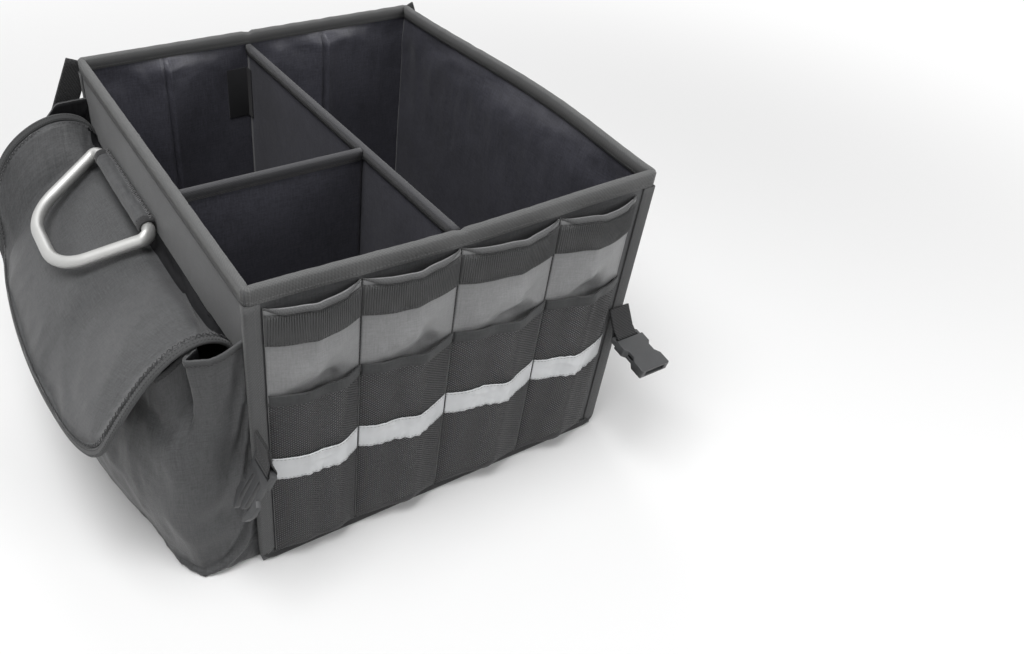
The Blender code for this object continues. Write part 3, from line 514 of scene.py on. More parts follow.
def sweep(name, rings, look, closed=False, caps=True):
    """Skin through rings of points, with cloth coordinates along and round it."""
    count = len(rings[0])
    points = [point for ring in rings for point in ring]
    along = [0.0]
    for before, after in zip(rings, rings[1:] + rings[:1]):
        along.append(along[-1] + (sum(after, Vector()) / count - sum(before, Vector()) / count).length)
    round_way = [0.0]
    for index in range(count):
        round_way.append(round_way[-1] + (rings[0][(index + 1) % count] - rings[0][index]).length)
    faces = []
    uvs = []
    for ring in range(len(rings) if closed else len(rings) - 1):
        following = (ring + 1) % len(rings)
        for index in range(count):
            other = (index + 1) % count
            faces.append((ring * count + index, ring * count + other,
                          following * count + other, following * count + index))
            uvs += [(along[ring], round_way[index]), (along[ring], round_way[index + 1]),
                    (along[ring + 1], round_way[index + 1]), (along[ring + 1], round_way[index])]
    if caps and not closed:
        for start in (0, (len(rings) - 1) * count):
            faces.append(tuple(range(start, start + count)))
            uvs += [(0.0, way) for way in round_way[:-1]]
    return turn_outward(make_piece(name, points, faces, uvs, [look]))


def clamp(value):
    """A share kept between 0 and 1."""
    return min(1.0, max(0.0, value))


def blend(low, high, share):
    return low + (high - low) * share


def smooth_step(value):
    value = clamp(value)
    return value * value * (3 - 2 * value)


def arc(start, end, steps):
    """Unit directions from one angle to another."""
    angles = [blend(start, end, step / steps) for step in range(steps + 1)]
    return [Vector((math.cos(angle), math.sin(angle))) for angle in angles]


def bump_at(value, centre, half):
    """Smooth hill of height 1 around a value."""
    return math.exp(-((value - centre) / half) ** 2)


def slow_noise(x, y, seed):
    return noise.noise(Vector((x, y, seed)))


def folds(x, y, seed):
    """Soft folds with sharper crests, between about -1 and 1."""
    first = 1 - 2 * abs(slow_noise(x, y, seed))
    second = 1 - 2 * abs(slow_noise(x * 2.3 + 4, y * 2.3, seed + 7))
    return 0.7 * first + 0.3 * second - 0.45


def new_tree(name, sizes):
    """Geometry node tree with named size inputs and a material input."""
    tree = bpy.data.node_groups.new(name, "GeometryNodeTree")

    def socket(label, kind, way="INPUT"):
        return tree.interface.new_socket(label, in_out=way, socket_type="NodeSocket" + kind)

    socket("Geometry", "Geometry")
    for label, value in sizes.items():
        socket(label, "Float").default_value = value
    socket("Material", "Material")
    socket("Geometry", "Geometry", "OUTPUT")
    return tree, tree.nodes.new("NodeGroupInput")


def end_tree(tree, entry, made):
    """Realize what the tree made, give it its material and hand it out."""
    real = add_node(tree, "GeometryNodeRealizeInstances", {"Geometry": made})
    painted = add_node(tree, "GeometryNodeSetMaterial",
                       {"Geometry": (real, "Geometry"), "Material": (entry, "Material")})
    add_node(tree, "NodeGroupOutput", {"Geometry": (painted, "Geometry")})
    return tree


def row_tree(name, sizes, shape):
    """Copies of a shape along lines, each upright on the cloth and leaning to alternate sides."""
    tree, entry = new_tree(name, sizes)
    curve = add_node(tree, "GeometryNodeMeshToCurve", {"Mesh": (entry, "Geometry")})
    spaced = add_node(tree, "GeometryNodeResampleCurve",
                      {"Curve": (curve, "Curve"), "Length": (entry, "Pitch")}, mode="LENGTH")
    tangent = add_node(tree, "GeometryNodeInputTangent")
    up = add_node(tree, "GeometryNodeInputNamedAttribute", {"Name": "up"}, data_type="FLOAT_VECTOR")
    lengthwise = add_node(tree, "FunctionNodeAlignRotationToVector",
                          {"Vector": (tangent, "Tangent")}, axis="X")
    standing = add_node(tree, "FunctionNodeAlignRotationToVector",
                        {"Rotation": (lengthwise, "Rotation"), "Vector": (up, "Attribute")},
                        axis="Z", pivot_axis="X")
    number = add_node(tree, "GeometryNodeInputIndex")
    side = math_node(tree, "MULTIPLY_ADD", math_node(tree, "MODULO", (number, "Index"), 2.0), 2.0, -1.0)
    turn = add_node(tree, "FunctionNodeAxisAngleToRotation",
                    {"Angle": math_node(tree, "MULTIPLY", side, (entry, "Lean")), "Axis": (0, 0, 1)})
    leaning = add_node(tree, "FunctionNodeRotateRotation",
                       {"Rotation": (standing, "Rotation"), "Rotate By": (turn, "Rotation")},
                       rotation_space="LOCAL")
    scale = add_node(tree, "ShaderNodeCombineXYZ",
                     {"X": (entry, "Length"), "Y": (entry, "Width"), "Z": (entry, "Depth")})
    shaped = add_node(tree, "GeometryNodeTransform", {"Geometry": shape(tree), "Scale": (scale, "Vector")})
    rows = add_node(tree, "GeometryNodeInstanceOnPoints", {
        "Points": (spaced, "Curve"), "Instance": (shaped, "Geometry"), "Rotation": (leaning, "Rotation")})
    return end_tree(tree, entry, (rows, "Instances"))


def bead(tree):
    """Round bead that is drawn out to one stitch."""
    return add_node(tree, "GeometryNodeMeshUVSphere", {"Segments": 6, "Rings": 5, "Radius": 0.5}), "Mesh"


def rib(tree):
    """Rod lying across the strip."""
    rod = add_node(tree, "GeometryNodeMeshCylinder",
                   {"Vertices": 8, "Side Segments": 6, "Radius": 0.5, "Depth": 1.0})
    return add_node(tree, "GeometryNodeTransform",
                    {"Geometry": (rod, "Mesh"), "Rotation": (math.pi / 2, 0, 0)}), "Geometry"


def net_tree():
    """A hole in the middle of each cell of a sheet, which leaves the strands of a net."""
    tree, entry = new_tree("holes in a net", {"Hole share": MESH_HOLE})
    inset = add_node(tree, "GeometryNodeExtrudeMesh",
                     {"Mesh": (entry, "Geometry"), "Offset Scale": 0.0, "Individual": True}, mode="FACES")
    shrunk = add_node(tree, "GeometryNodeScaleElements",
                      {"Geometry": (inset, "Mesh"), "Selection": (inset, "Top"),
                       "Scale": (entry, "Hole share")}, domain="FACE")
    holed = add_node(tree, "GeometryNodeDeleteGeometry",
                     {"Geometry": (shrunk, "Geometry"), "Selection": (inset, "Top")},
                     domain="FACE", mode="ALL")
    return end_tree(tree, entry, (holed, "Geometry"))


STITCH_TREE = row_tree("stitches along a seam", {
    "Pitch": STITCH_PITCH, "Length": STITCH_LENGTH, "Width": STITCH_THICK, "Depth": STITCH_THICK,
    "Lean": 0.0}, bead)
RIB_TREE = row_tree("ribs along a strip", {
    "Pitch": RIB_PITCH, "Length": 0.0013, "Width": STRIP_HEIGHT, "Depth": 0.0009, "Lean": 0.0}, rib)
NET_TREE = net_tree()


def grow(obj, tree, look, sizes):
    """Run a tree on an object with the given sizes and keep the result as plain mesh."""
    modifier = obj.modifiers.new(tree.name, "NODES")
    modifier.node_group = tree
    sockets = {item.name: item.identifier for item in tree.interface.items_tree
               if item.in_out == "INPUT"}
    for label, value in sizes.items():
        modifier[sockets[label]] = value
    modifier[sockets["Material"]] = look
    return bake(obj)


def seam_lines(name, lines):
    """Polylines that carry the direction in which the cloth faces: each line is points with normals."""
    edges = []
    for line in lines:
        start = edges[-1][1] + 1 if edges else 0
        edges += [(index, index + 1) for index in range(start, start + len(line) - 1)]
    mesh = bpy.data.meshes.new(name)
    mesh.from_pydata([tuple(point) for line in lines for point, normal in line], edges, [])
    normals = np.array([tuple(normal) for line in lines for point, normal in line], np.float32)
    mesh.attributes.new("up", "FLOAT_VECTOR", "POINT").data.foreach_set("vector", normals.ravel())
    return put(name, mesh)


def stitches(name, lines, look, pitch=STITCH_PITCH, length=STITCH_LENGTH,
             thickness=STITCH_THICK, lean=0.0):
    """Rows of stitches along seam lines."""
    obj = grow(seam_lines(name, lines), STITCH_TREE, look, {
        "Pitch": pitch, "Length": length, "Width": thickness, "Depth": thickness, "Lean": lean})
    obj.data.shade_smooth()
    return settle(obj, ())


def facing_line(spots, facing=FORWARD):
    """Seam line of spots on cloth that faces one way."""
    return [(spot, facing) for spot in spots]


def sag(x):
    """How far the front rim sinks beside its fold."""
    return FRONT_DIP * smooth_step(1 - abs(x - FOLD_X) / (FOLD_X - LEFT))


def bow(y, z):
    """How far the soft top of the right wall leans outward."""
    start = FRONT + EDGE_SIDE_LEG + GAP
    length = BACK - FRONT - 2 * (EDGE_SIDE_LEG + GAP)
    share = clamp((y - start) / length)
    height = smooth_step((z - (WALL_TOP - RIM_BOW_HEIGHT)) / RIM_BOW_HEIGHT)
    return RIM_BOW * math.sin(math.pi * share ** RIM_BOW_SKEW) ** 2 * height


def panel_relief(along, z, seams, seed):
    """Inner lining: tucks beside the creases of the boards, and drapes and wrinkles below the rim."""
    height = smooth_step(z / 0.02) * smooth_step((WALL_TOP - RIM_LEG_IN - z) / 0.012)
    swell = 0.0
    for seam in seams:
        past = along - seam
        tuck = math.exp(-max(0.0, past) / TUCK_LENGTH) if past > 0 else 0.65 * math.exp(past / 0.014)
        swell += PANEL_SWELL * tuck * smooth_step(abs(past) / CREASE_HALF)
        swell -= 0.0012 * bump_at(past, 0.0, CREASE_HALF)
    light = folds(along * 9, z * 7 + 2, seed) * 0.0016
    near_rim = folds(along * 15, z * 18 + along * 5, seed + 3) * 0.0034 * bump_at(z, WALL_TOP - 0.030, 0.022)
    upright = folds(along * 30, z * 4, seed + 6) * 0.0012 * bump_at(z, WALL_TOP - 0.070, 0.060)
    return (swell + light + near_rim + upright) * height


def wall_piece(name, node, ends, top, point, seams, seed):
    """Boarded wall: charcoal cloth outside, dark lining inside.

    ends are the wall's first and last place along its length, top gives its height there, and
    point takes a place, a height and a depth from the outer face.
    """
    columns = 150
    rows = 64
    length = ends[1] - ends[0]

    def spot(column, row, inside):
        along = ends[0] + length * column / (columns - 1)
        z = top(along) * row / (rows - 1)
        depth = 0.0004 * max(0.0, folds(along * 8, z * 8, seed + 20))
        if inside:
            depth = WALL + panel_relief(along - ends[0], z, seams, seed)
        return point(along, z, depth)

    obj = board(name, columns, rows, spot, (length, WALL_TOP), [OUTER, INNER], 0.005)
    settle(obj, (node,))


def build_walls():
    wall_piece("front_panel", "front_wall", (LEFT, RIGHT), lambda x: WALL_TOP - sag(x),
               lambda x, z, depth: Vector((x, FRONT + depth + fold_groove(x, depth), z)), LONG_TUCKS, 1.0)
    wall_piece("back_panel", "back_wall", (LEFT, RIGHT), lambda x: WALL_TOP,
               lambda x, z, depth: Vector((x, BACK - depth - fold_groove(x, depth), z)), LONG_TUCKS, 5.0)
    ends = (FRONT + WALL, BACK - WALL)
    wall_piece("left_panel", "left_wall", ends, lambda y: WALL_TOP,
               lambda y, z, depth: Vector((LEFT + depth, y, z)), LEFT_TUCKS, 9.0)
    wall_piece("right_panel", "right_wall", ends, lambda y: WALL_TOP,
               lambda y, z, depth: Vector((RIGHT - depth + bow(y, z), y, z)), (), 13.0)


def fold_groove(x, depth):
    """Outer groove of the fold line; the inner crease belongs to the lining's relief."""
    share = max(0.0, 1 - abs(x - FOLD_X) / FOLD_HALF)
    return 0.001 * share if depth < WALL / 2 else 0.0


def rim_path():
    """Stations round the rim: a function from inward offset to place, the top there and the way inward."""
    r = RIM_CORNER
    corners = [Vector(spot) for spot in ((LEFT, FRONT), (RIGHT, FRONT), (RIGHT, BACK), (LEFT, BACK))]
    diagonals = [Vector(way) for way in ((1, 1), (-1, 1), (-1, -1), (1, -1))]
    centres = [corner + diagonal * r for corner, diagonal in zip(corners, diagonals)]
    inwards = [Vector(way) for way in ((0, 1), (-1, 0), (0, -1), (1, 0))]
    stations = []

    def bend(centre, out, diagonal):
        return lambda depth: centre + out * max(0.0, r - depth) + diagonal * max(0.0, depth - r)

    def straight(point, inward):
        return lambda depth: point + inward * depth

    for index, start_angle in enumerate((math.pi, -math.pi / 2, 0.0, math.pi / 2)):
        inward = inwards[index]
        for out in arc(start_angle, start_angle + math.pi / 2, 8):
            stations.append((bend(centres[index], out, diagonals[index]), WALL_TOP, -out))
        start = centres[index] - inward * r
        end = centres[(index + 1) % 4] - inward * r
        for step in range(1, 90):
            point = start.lerp(end, step / 90)
            top = WALL_TOP - sag(point.x) if index == 0 else WALL_TOP
            stations.append((straight(point, inward), top, inward))
    return stations


def rim_profile():
    """Section of the rim tape: inward offset and height above the wall's top."""
    out = GAP + TAPE
    middle = WALL / 2
    crest = [(middle - (middle + out) * way.x, RIM_CREST * way.y) for way in arc(0, math.pi, 8)]
    return [(-out, -RIM_LEG_OUT)] + crest + [
        (WALL + out, -RIM_LEG_IN), (WALL + GAP, -RIM_LEG_IN), (WALL + GAP, -0.0005), (-GAP, -0.0005),
        (-GAP, -RIM_LEG_OUT)]


def rim_ring(station, index, profile):
    spot, top, inward = station
    lift = 0.0006 * slow_noise(index * 0.35, 2.0, 4.0)
    ring = []
    for depth, rise in profile:
        place = spot(depth)
        fold = bump_at(place.x, FOLD_X, 0.0035) if abs(inward.y) > 0.99 else 0.0
        z = top + rise + ((lift - RIM_NOTCH * fold) if rise > -0.0005 else 0.0)
        place = place + inward * (0.0009 * fold if depth < 0 else 0.0)
        leans = bow(place.y, z) if inward.x < -0.99 else 0.0
        ring.append(Vector((place.x + leans, place.y, z)))
    return ring


def build_rim():
    stations = rim_path()
    profile = rim_profile()
    rings = [rim_ring(station, index, profile) for index, station in enumerate(stations)]
    settle(sweep("rim_tape", rings, RIM_LOOK, closed=True), ("rim_binding",))
    out = GAP + TAPE + 0.0001
    lines = []
    for depth, drop in ((-out, 0.0100), (WALL + out, 0.0085)):
        line = []
        for spot, top, inward in stations + stations[:1]:
            place = spot(depth)
            leans = bow(place.y, top - drop) if inward.x < -0.99 else 0.0
            facing = Vector((-inward.x, -inward.y, 0)) * (1 if depth < 0 else -1)
            line.append((Vector((place.x + leans, place.y, top - drop)), facing))
        lines.append(line)
    stitches("rim_stitches", lines, THREAD)


def edge_path():
    """Edge of a front or back panel, down one side, along the foot and up the other: place and outward."""
    top = WALL_TOP - RIM_LEG_OUT - GAP
    r = EDGE_CORNER
    low = EDGE_FOOT + r

    def corner(x, start_angle):
        outs = arc(start_angle, start_angle + math.pi / 2, 10)[:-1]
        return [(Vector((x, low)) + out * r, out) for out in outs]

    path = [(Vector((LEFT, blend(top, low, step / 40))), Vector((-1, 0))) for step in range(40)]
    path += corner(LEFT + r, math.pi)
    path += [(Vector((blend(LEFT + r, RIGHT - r, step / 60), EDGE_FOOT)), Vector((0, -1)))
             for step in range(60)]
    path += corner(RIGHT - r, -math.pi / 2)
    return path + [(Vector((RIGHT, blend(low, top, step / 40))), Vector((1, 0))) for step in range(41)]


def edge_ring(place, outward, face_y, front, index):
    """L shaped section of the edge tape, its long leg on the panel and its short one round the side."""
    foot = smooth_step(-outward.y)
    side_leg = blend(EDGE_SIDE_LEG, 0.0012, foot)
    long_leg = blend(EDGE_LEG, 0.0085, foot)
    swell = 0.0004 * slow_noise(index * 0.5, 8.0, 3.0)
    section = [(-GAP, -side_leg), (-EDGE_THICK, -side_leg), (-EDGE_THICK - 0.0003, EDGE_THICK * 0.5),
               (-EDGE_THICK * 0.5, EDGE_THICK + 0.0006), (0.001, EDGE_THICK + 0.0010 + swell),
               (0.003, EDGE_THICK + 0.0005), (long_leg - 0.0006, EDGE_THICK + 0.0003),
               (long_leg, EDGE_THICK - 0.0003), (long_leg, GAP), (-GAP, GAP)]
    spots = [(place - outward * inward, forward) for inward, forward in section]
    return [Vector((spot.x, face_y + front * forward, spot.y)) for spot, forward in spots]


def build_edges():
    path = edge_path()
    for name, face_y, front, nodes in (
            ("front_edge_tape", FRONT, -1, ("corner_binding_front_left", "corner_binding_front_right",
                                            "bottom_binding")),
            ("back_edge_tape", BACK, 1, ("corner_binding_back_left", "corner_binding_back_right"))):
        rings = [edge_ring(*station, face_y, front, index) for index, station in enumerate(path)]
        tape = sweep(name, rings, TAPE_LOOK)
        second_look(tape, DARK_TAPE, lambda middle: middle.z < EDGE_FOOT + EDGE_CORNER * 0.7)
        settle(tape, nodes)
        spots = [place - outward * 0.0068 for place, outward in path]
        stitches(name + "_stitches", [facing_line(
            [Vector((spot.x, face_y + front * (EDGE_THICK + 0.0004), spot.y)) for spot in spots],
            Vector((0, front, 0)))], THREAD)
    foot_low, foot_high = (corner.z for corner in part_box("bottom_binding"))
    section = ((GAP, foot_low), (GAP + TAPE, foot_low + 0.0006), (GAP + TAPE + 0.0003, foot_low + 0.004),
               (GAP + TAPE, foot_high - 0.0004), (GAP, foot_high))
    rings = [[Vector((RIGHT + depth, y, z)) for depth, z in section]
             for y in np.linspace(FRONT + 0.008, BACK - 0.008, 40)]
    settle(sweep("right_foot_tape", rings, TAPE_LOOK), ())


def belly(share):
    return max(0.0, math.sin(math.pi * share)) ** BELLY_POWER


def foot_rounding(z):
    return math.sqrt(1 - (1 - clamp((z - POCKET_FOOT) / FOOT_ROUNDING)) ** 2)


def fabric_standoff(share, z):
    """Distance from the front wall to the back of the cloth pocket."""
    swell = smooth_step((z - MESH_TOP - HEM_HEIGHT) / SWELL_LENGTH)
    depth = blend(FABRIC_DEPTH_LOW, FABRIC_DEPTH_TOP, swell)
    return GAP + depth * belly(share) * foot_rounding(z)


def cloth_relief(share, z, column):
    """Crumples of the pocket cloth, strongest just above the mesh hem, none at the seams."""
    across = share * column_width(column)
    low = folds(across * 24 + column * 3.1, z * 17, 2.0 + column) * 0.0042
    low *= bump_at(z, MESH_TOP + 0.024, 0.022)
    dent = -0.0062 * bump_at(share, DENT_SHARES[column], 0.15) * bump_at(z, MESH_TOP + 0.015, 0.012)
    past = share - RIDGE_SHARES[column]
    ridge = 0.0040 * bump_at(z - (MESH_TOP + 0.030) - past * 0.045, 0.0, 0.012) * bump_at(past, 0.0, 0.30)
    upright = 0.0018 * bump_at(past, 0.12, 0.08) * smooth_step((z - MESH_TOP) / 0.03)
    light = folds(across * 13, z * 8 + column, 6.0) * 0.0014
    return smooth_step(belly(share) * 1.3) * (low + dent + ridge + upright + light)


def cloth_standoff(share, z, column):
    return max(GAP, fabric_standoff(share, z) + cloth_relief(share, z, column))


def mouth_dip(share, column):
    """The loose mouth of a cloth pocket hangs a little lower at one side."""
    return 0.0022 * (slow_noise(share * 2.2, column * 5.0, 1.0) - 0.3) * belly(share)


def mesh_standoff(share, z, column):
    base = fabric_standoff(share, min(z, MESH_TOP)) + FABRIC + GAP
    soft = folds(share * 2.4 + column * 2, z * 11, 11.0 + column) * 0.0014
    lean = share - NET_RIDGES[column] - (z - 0.1) * 0.25
    ridge = 0.0034 * bump_at(lean, 0.0, 0.13) - 0.0022 * bump_at(lean, -0.26, 0.12)
    return base + (MESH_DEPTH + soft + ridge) * belly(share) * foot_rounding(z)


def column_width(column):
    return POCKET_SEAMS[column + 1] - POCKET_SEAMS[column]


def pocket_spot(column, share, stand, z):
    """Place on a front pocket: a share of its column's width, and a distance from the front wall."""
    start = LEFT + POCKET_SEAMS[column] + SEAM_HALF
    end = LEFT + POCKET_SEAMS[column + 1] - SEAM_HALF
    return Vector((blend(start, end, share), FRONT - stand, z))


def build_cloth_pocket(column, tag, width):
    """Cloth pocket with a loose hemmed mouth, and painted light behind its net: a lighter copy of its cloth
    there.
    """
    def place(share, up):
        z = blend(POCKET_FOOT, POCKET_TOP - 0.001 + mouth_dip(share, column), up)
        return pocket_spot(column, share, cloth_standoff(share, z, column) + FABRIC, z)

    def lip(share, up):
        loose = smooth_step(share / 0.16) * smooth_step((1 - share) / 0.22)
        top = POCKET_TOP - 0.0004 + mouth_dip(share, column)
        z = top - (0.0018 + (LIP_HEIGHT - 0.0018) * loose) * (1 - up)
        proud = (0.0010 + 0.0020 * math.sin(math.pi * up) ** 0.7) * loose
        return pocket_spot(column, share, cloth_standoff(share, z, column) + FABRIC + proud, z)

    obj = sheet("cloth_pocket" + tag, 60, 130, place, (width, POCKET_TOP), POCKET)
    # Painted light: the cloth below the net's mouth gets the lighter copy
    second_look(obj, PAINTED_LIGHT_BEHIND_NET, lambda middle: middle.z < MESH_TOP - 0.002)
    settle(thicken(obj, FABRIC), ("fabric_pocket" + tag,))
    obj = sheet("mouth_hem" + tag, 40, 9, lip, (width, LIP_HEIGHT), TAPE_LOOK, thickness=0.0014)
    settle(obj, ())


def build_loop_strip(column, tag, width):
    """Strip of loop tape with its ribs; gives the stitch rows along its two edges."""
    def place(share, up, proud=0.0009):
        z = POCKET_TOP - LIP_HEIGHT - 0.0008 - STRIP_HEIGHT * (1 - up) + mouth_dip(share, column)
        return pocket_spot(column, share, cloth_standoff(share, z, column) + FABRIC + GAP + proud, z)

    obj = sheet("ribbed_strip" + tag, 44, 10, place, (width, STRIP_HEIGHT), LOOP, thickness=0.0008)
    settle(obj, ("loop_strip" + tag,))
    line = []
    for step in range(61):
        share = blend(0.015, 0.985, step / 60)
        ahead = place(min(1.0, share + 0.01), 0.5) - place(max(0.0, share - 0.01), 0.5)
        line.append((place(share, 0.5, 0.0011), Vector((ahead.y, -ahead.x, 0)).normalized()))
    ribs = grow(seam_lines("strip_ribs" + tag, [line]), RIB_TREE, LOOP, {"Width": STRIP_HEIGHT - 0.0016})
    ribs.data.shade_smooth()
    settle(ribs, ())
    return [facing_line([place(share, up, proud) for share in np.linspace(0.01, 0.99, 50)])
            for up, proud in ((1.02, 0.0012), (0.03, 0.0013))]


def net_grid(column, place, height):
    """Sheet of staggered diamonds whose middles become the holes of the net."""
    width = column_width(column)
    across = 2 * round(width / (2 * MESH_CELL_WIDE))
    up = 2 * round(height / (2 * MESH_CELL_TALL))
    numbers = {}
    points = []

    def vertex(i, j):
        if (i, j) not in numbers:
            numbers[i, j] = len(points)
            points.append(place(i / across, j / up))
        return numbers[i, j]

    faces = []
    uvs = []
    for j in range(up + 1):
        for i in range(across + 1):
            if (i + j) % 2 == 0:
                continue
            ring = [(i - 1, j), (i, j - 1), (i + 1, j), (i, j + 1)]
            ring = [(a, b) for a, b in ring if 0 <= a <= across and 0 <= b <= up]
            if len(ring) < 3:
                continue
            faces.append(tuple(vertex(a, b) for a, b in ring))
            uvs += [(a / across * width, b / up * height) for a, b in ring]
    return points, faces, uvs


def build_net(column, tag):
    def place(share, up):
        z = blend(POCKET_FOOT, MESH_TOP + 0.002, up)
        return pocket_spot(column, share, mesh_standoff(share, z, column) + MESH_THICK, z)

    obj = make_piece("net_pocket" + tag, *net_grid(column, place, MESH_TOP - POCKET_FOOT), [NET],
                     outward=FORWARD)
    grow(obj, NET_TREE, NET, {})
    thicken(obj, MESH_THICK)
    obj.data.shade_smooth()
    settle(obj, ("mesh_pocket" + tag,))


def build_net_hem(column, tag, width):
    """Hem along the net's mouth; gives its stitch row."""
    def place(share, up):
        z = MESH_TOP - 0.0005 + (HEM_HEIGHT - 0.0003) * up
        z -= 0.0012 * belly(share) * slow_noise(share * 3, column * 2.0, 9.0)
        stand = mesh_standoff(share, MESH_TOP, column) + MESH_THICK + 0.0008
        return pocket_spot(column, share, stand + 0.0009 * math.sin(math.pi * up) ** 0.5, z)

    obj = sheet("net_hem" + tag, 46, 12, place, (width, HEM_HEIGHT), HEM, thickness=0.0016)
    settle(obj, ("mesh_hem" + tag,))
    return facing_line([place(share, 0.12) + PROUD for share in np.linspace(0.01, 0.99, 40)])


def build_band(column, tag, width):
    """Reflective band across the net; gives the stitch rows along its two edges."""
    def place(share, up):
        pucker = math.sin(share * width / 0.0095 * 2 * math.pi + column)
        edge = (up - 0.5) * 2
        z = BAND_BOTTOM + BAND_HEIGHT * up + 0.0004 * edge * pucker * belly(share)
        z += 0.0012 * slow_noise(share * 2.5, column * 3.0, 2.0)
        gathered = 0.0005 * pucker * abs(edge) * belly(share)
        slack = 0.0012 * folds(share * width * 30, up * 1.5 + column, 30.0) * belly(share)
        stand = mesh_standoff(share, z, column) + MESH_THICK + 0.0010
        return pocket_spot(column, share, stand + max(0.0, gathered + slack), z)

    obj = sheet("silver_band" + tag, 90, 22, place, (width, BAND_HEIGHT), REFLECTIVE, thickness=0.0005)
    settle(obj, ("reflective_band" + tag,))
    return [facing_line([place(share, up) + PROUD for share in np.linspace(0.01, 0.99, 60)])
            for up in (0.07, 0.93)]


def build_front_pockets():
    dark_lines = []
    pale_lines = []
    for column in range(COLUMNS):
        tag = "_%d" % (column + 1)
        width = column_width(column)
        build_cloth_pocket(column, tag, width)
        dark_lines += build_loop_strip(column, tag, width)
        build_net(column, tag)
        dark_lines.append(build_net_hem(column, tag, width))
        pale_lines += build_band(column, tag, width)
    stitches("pocket_stitches", dark_lines, DARK_THREAD)
    stitches("band_stitches", pale_lines, PALE_THREAD)
    heights = np.linspace(POCKET_FOOT, POCKET_TOP, 60)
    seams = [facing_line([Vector((LEFT + seam, FRONT - 0.0012, z)) for z in heights])
             for seam in POCKET_SEAMS[1:-1]]
    stitches("column_stitches", seams, THREAD, thickness=0.0005)


def flap_lift(y):
    """0 below the handle and 1 at either end of the flap, where the gussets prop it up."""
    end = FLAP_FRONT if y < HANDLE_Y else FLAP_REAR
    flat_half = (HANDLE_BASE + ROD) / 2
    clear = abs(y - HANDLE_Y) - flat_half
    return smooth_step(clear / (abs(end - HANDLE_Y) - flat_half))


def flap_reach(y):
    middle = (FLAP_FRONT + FLAP_REAR) / 2
    share = (y - middle) / ((FLAP_REAR - FLAP_FRONT) / 2)
    return FLAP_REACH - FLAP_REACH_LOSS * share * share


def flap_height(y, out):
    """Height of the flap's middle surface at a distance out from the left wall."""
    share = clamp(out / flap_reach(y))
    end_power = FLAP_POWER_FRONT if y < HANDLE_Y else FLAP_POWER_REAR
    power = blend(FLAP_POWER, end_power, flap_lift(y))
    fall = (1 - share ** power) ** (1 / power)
    rise_share = clamp(out / FLAP_RISE_REACH)
    rise = FLAP_RISE * flap_lift(y) * math.sin(math.pi * rise_share ** FLAP_RISE_SKEW)
    rise *= FLAP_RISE_FRONT if y < HANDLE_Y else 1.0
    return SEAM_Z - FLAP_FALL + FLAP_FALL * fall + rise


def flap_point(across, down):
    """Middle surface of the flap: across runs front to back, down runs seam to lower edge."""
    share = max(0.0, (down - FLAP_CORNER_START) / (1 - FLAP_CORNER_START))
    rounding = 1 - math.sqrt(max(0.0, 1 - share * share))
    start = FLAP_FRONT + FLAP_CORNER_FRONT * rounding
    end = FLAP_REAR - FLAP_CORNER_REAR * rounding
    y = blend(start, end, blend(0.02, 0.98, across))
    out = flap_reach(y) * math.sin(down * math.pi / 2) ** (2 / FLAP_POWER)
    return Vector((LEFT - GAP - out, y, flap_height(y, out)))


def flap_normal(across, down):
    step = 0.01
    low = min(across, 1 - step)
    up = min(max(down, step), 1 - step)
    along = flap_point(low + step, up) - flap_point(low, up)
    fall = flap_point(low, up + step) - flap_point(low, up)
    return fall.cross(along).normalized() * -1


def flap_relief(across, down):
    """Soft hollows of the flap: beside the handle, below the sleeve and along the lower edge."""
    point = flap_point(across, down)
    inside = smooth_step(down / 0.08)
    hollow = -0.0030 * bump_at(point.y, HANDLE_Y - 0.02, 0.035) * bump_at(down, 0.30, 0.12)
    ripple = folds(point.y * 7, down * 1.8, 21.0) * 0.0036
    low = folds(point.y * 16, down * 3.0, 25.0) * 0.0022 * smooth_step((down - 0.5) / 0.3)
    calm = 1 - 0.85 * bump_at(point.y, HANDLE_Y, 0.075) * bump_at(down, 0.42, 0.30)
    ends = smooth_step(min(across, 1 - across) / 0.06)
    seam_crease = -0.0080 * bump_at(LEFT - point.x, 0.009, 0.008) * smooth_step(down / 0.04) * ends
    return inside * (hollow + (ripple + low) * calm) + seam_crease


def relax(obj, columns, rows, top_hold, inner_hold, frames, furthest, slack):
    """Let a sheet crumple: sewn at its edges, a little larger than its frame, moved no more than a limit."""
    rest = np.array([vertex.co for vertex in obj.data.vertices])
    group = obj.vertex_groups.new(name="sewn")
    for index in range(columns * rows):
        row, column = divmod(index, columns)
        inner = top_hold if row == rows - 1 else inner_hold
        group.add([index], inner if min(row, column, columns - 1 - column) else 1.0, "REPLACE")
    modifier = obj.modifiers.new("cloth", "CLOTH")
    for key, value in {"quality": 6, "mass": 0.25, "tension_stiffness": 12, "compression_stiffness": 12,
                       "shear_stiffness": 4, "bending_stiffness": 0.35, "vertex_group_mass": "sewn",
                       "shrink_min": -slack}.items():
        setattr(modifier.settings, key, value)
    modifier.settings.effector_weights.gravity = 0.6
    modifier.collision_settings.use_collision = False
    modifier.point_cache.frame_start = 1
    modifier.point_cache.frame_end = frames
    for number in range(1, frames + 1):
        bpy.context.scene.frame_set(number)
    graph = bpy.context.evaluated_depsgraph_get()
    shift = np.array([vertex.co for vertex in obj.evaluated_get(graph).data.vertices]) - rest
    bpy.context.scene.frame_set(1)
    obj.modifiers.remove(modifier)
    length = np.linalg.norm(shift, axis=1, keepdims=True)
    settled = rest + shift * np.minimum(1.0, furthest / np.maximum(length, 1e-9))
    settled[:, 2] = np.maximum(settled[:, 2], rest[:, 2].min())
    obj.data.vertices.foreach_set("co", settled.astype(np.float32).ravel())
    obj.data.update()


def lowest(across):
    """How far down the flap's cloth goes, less at its two rounded corners."""
    beside = min(across, 1 - across) / FLAP_ROUND_SHARE
    return FLAP_LAST_ROW - FLAP_ROUND * (1 - math.sqrt(1 - max(0.0, 1 - beside) ** 2))


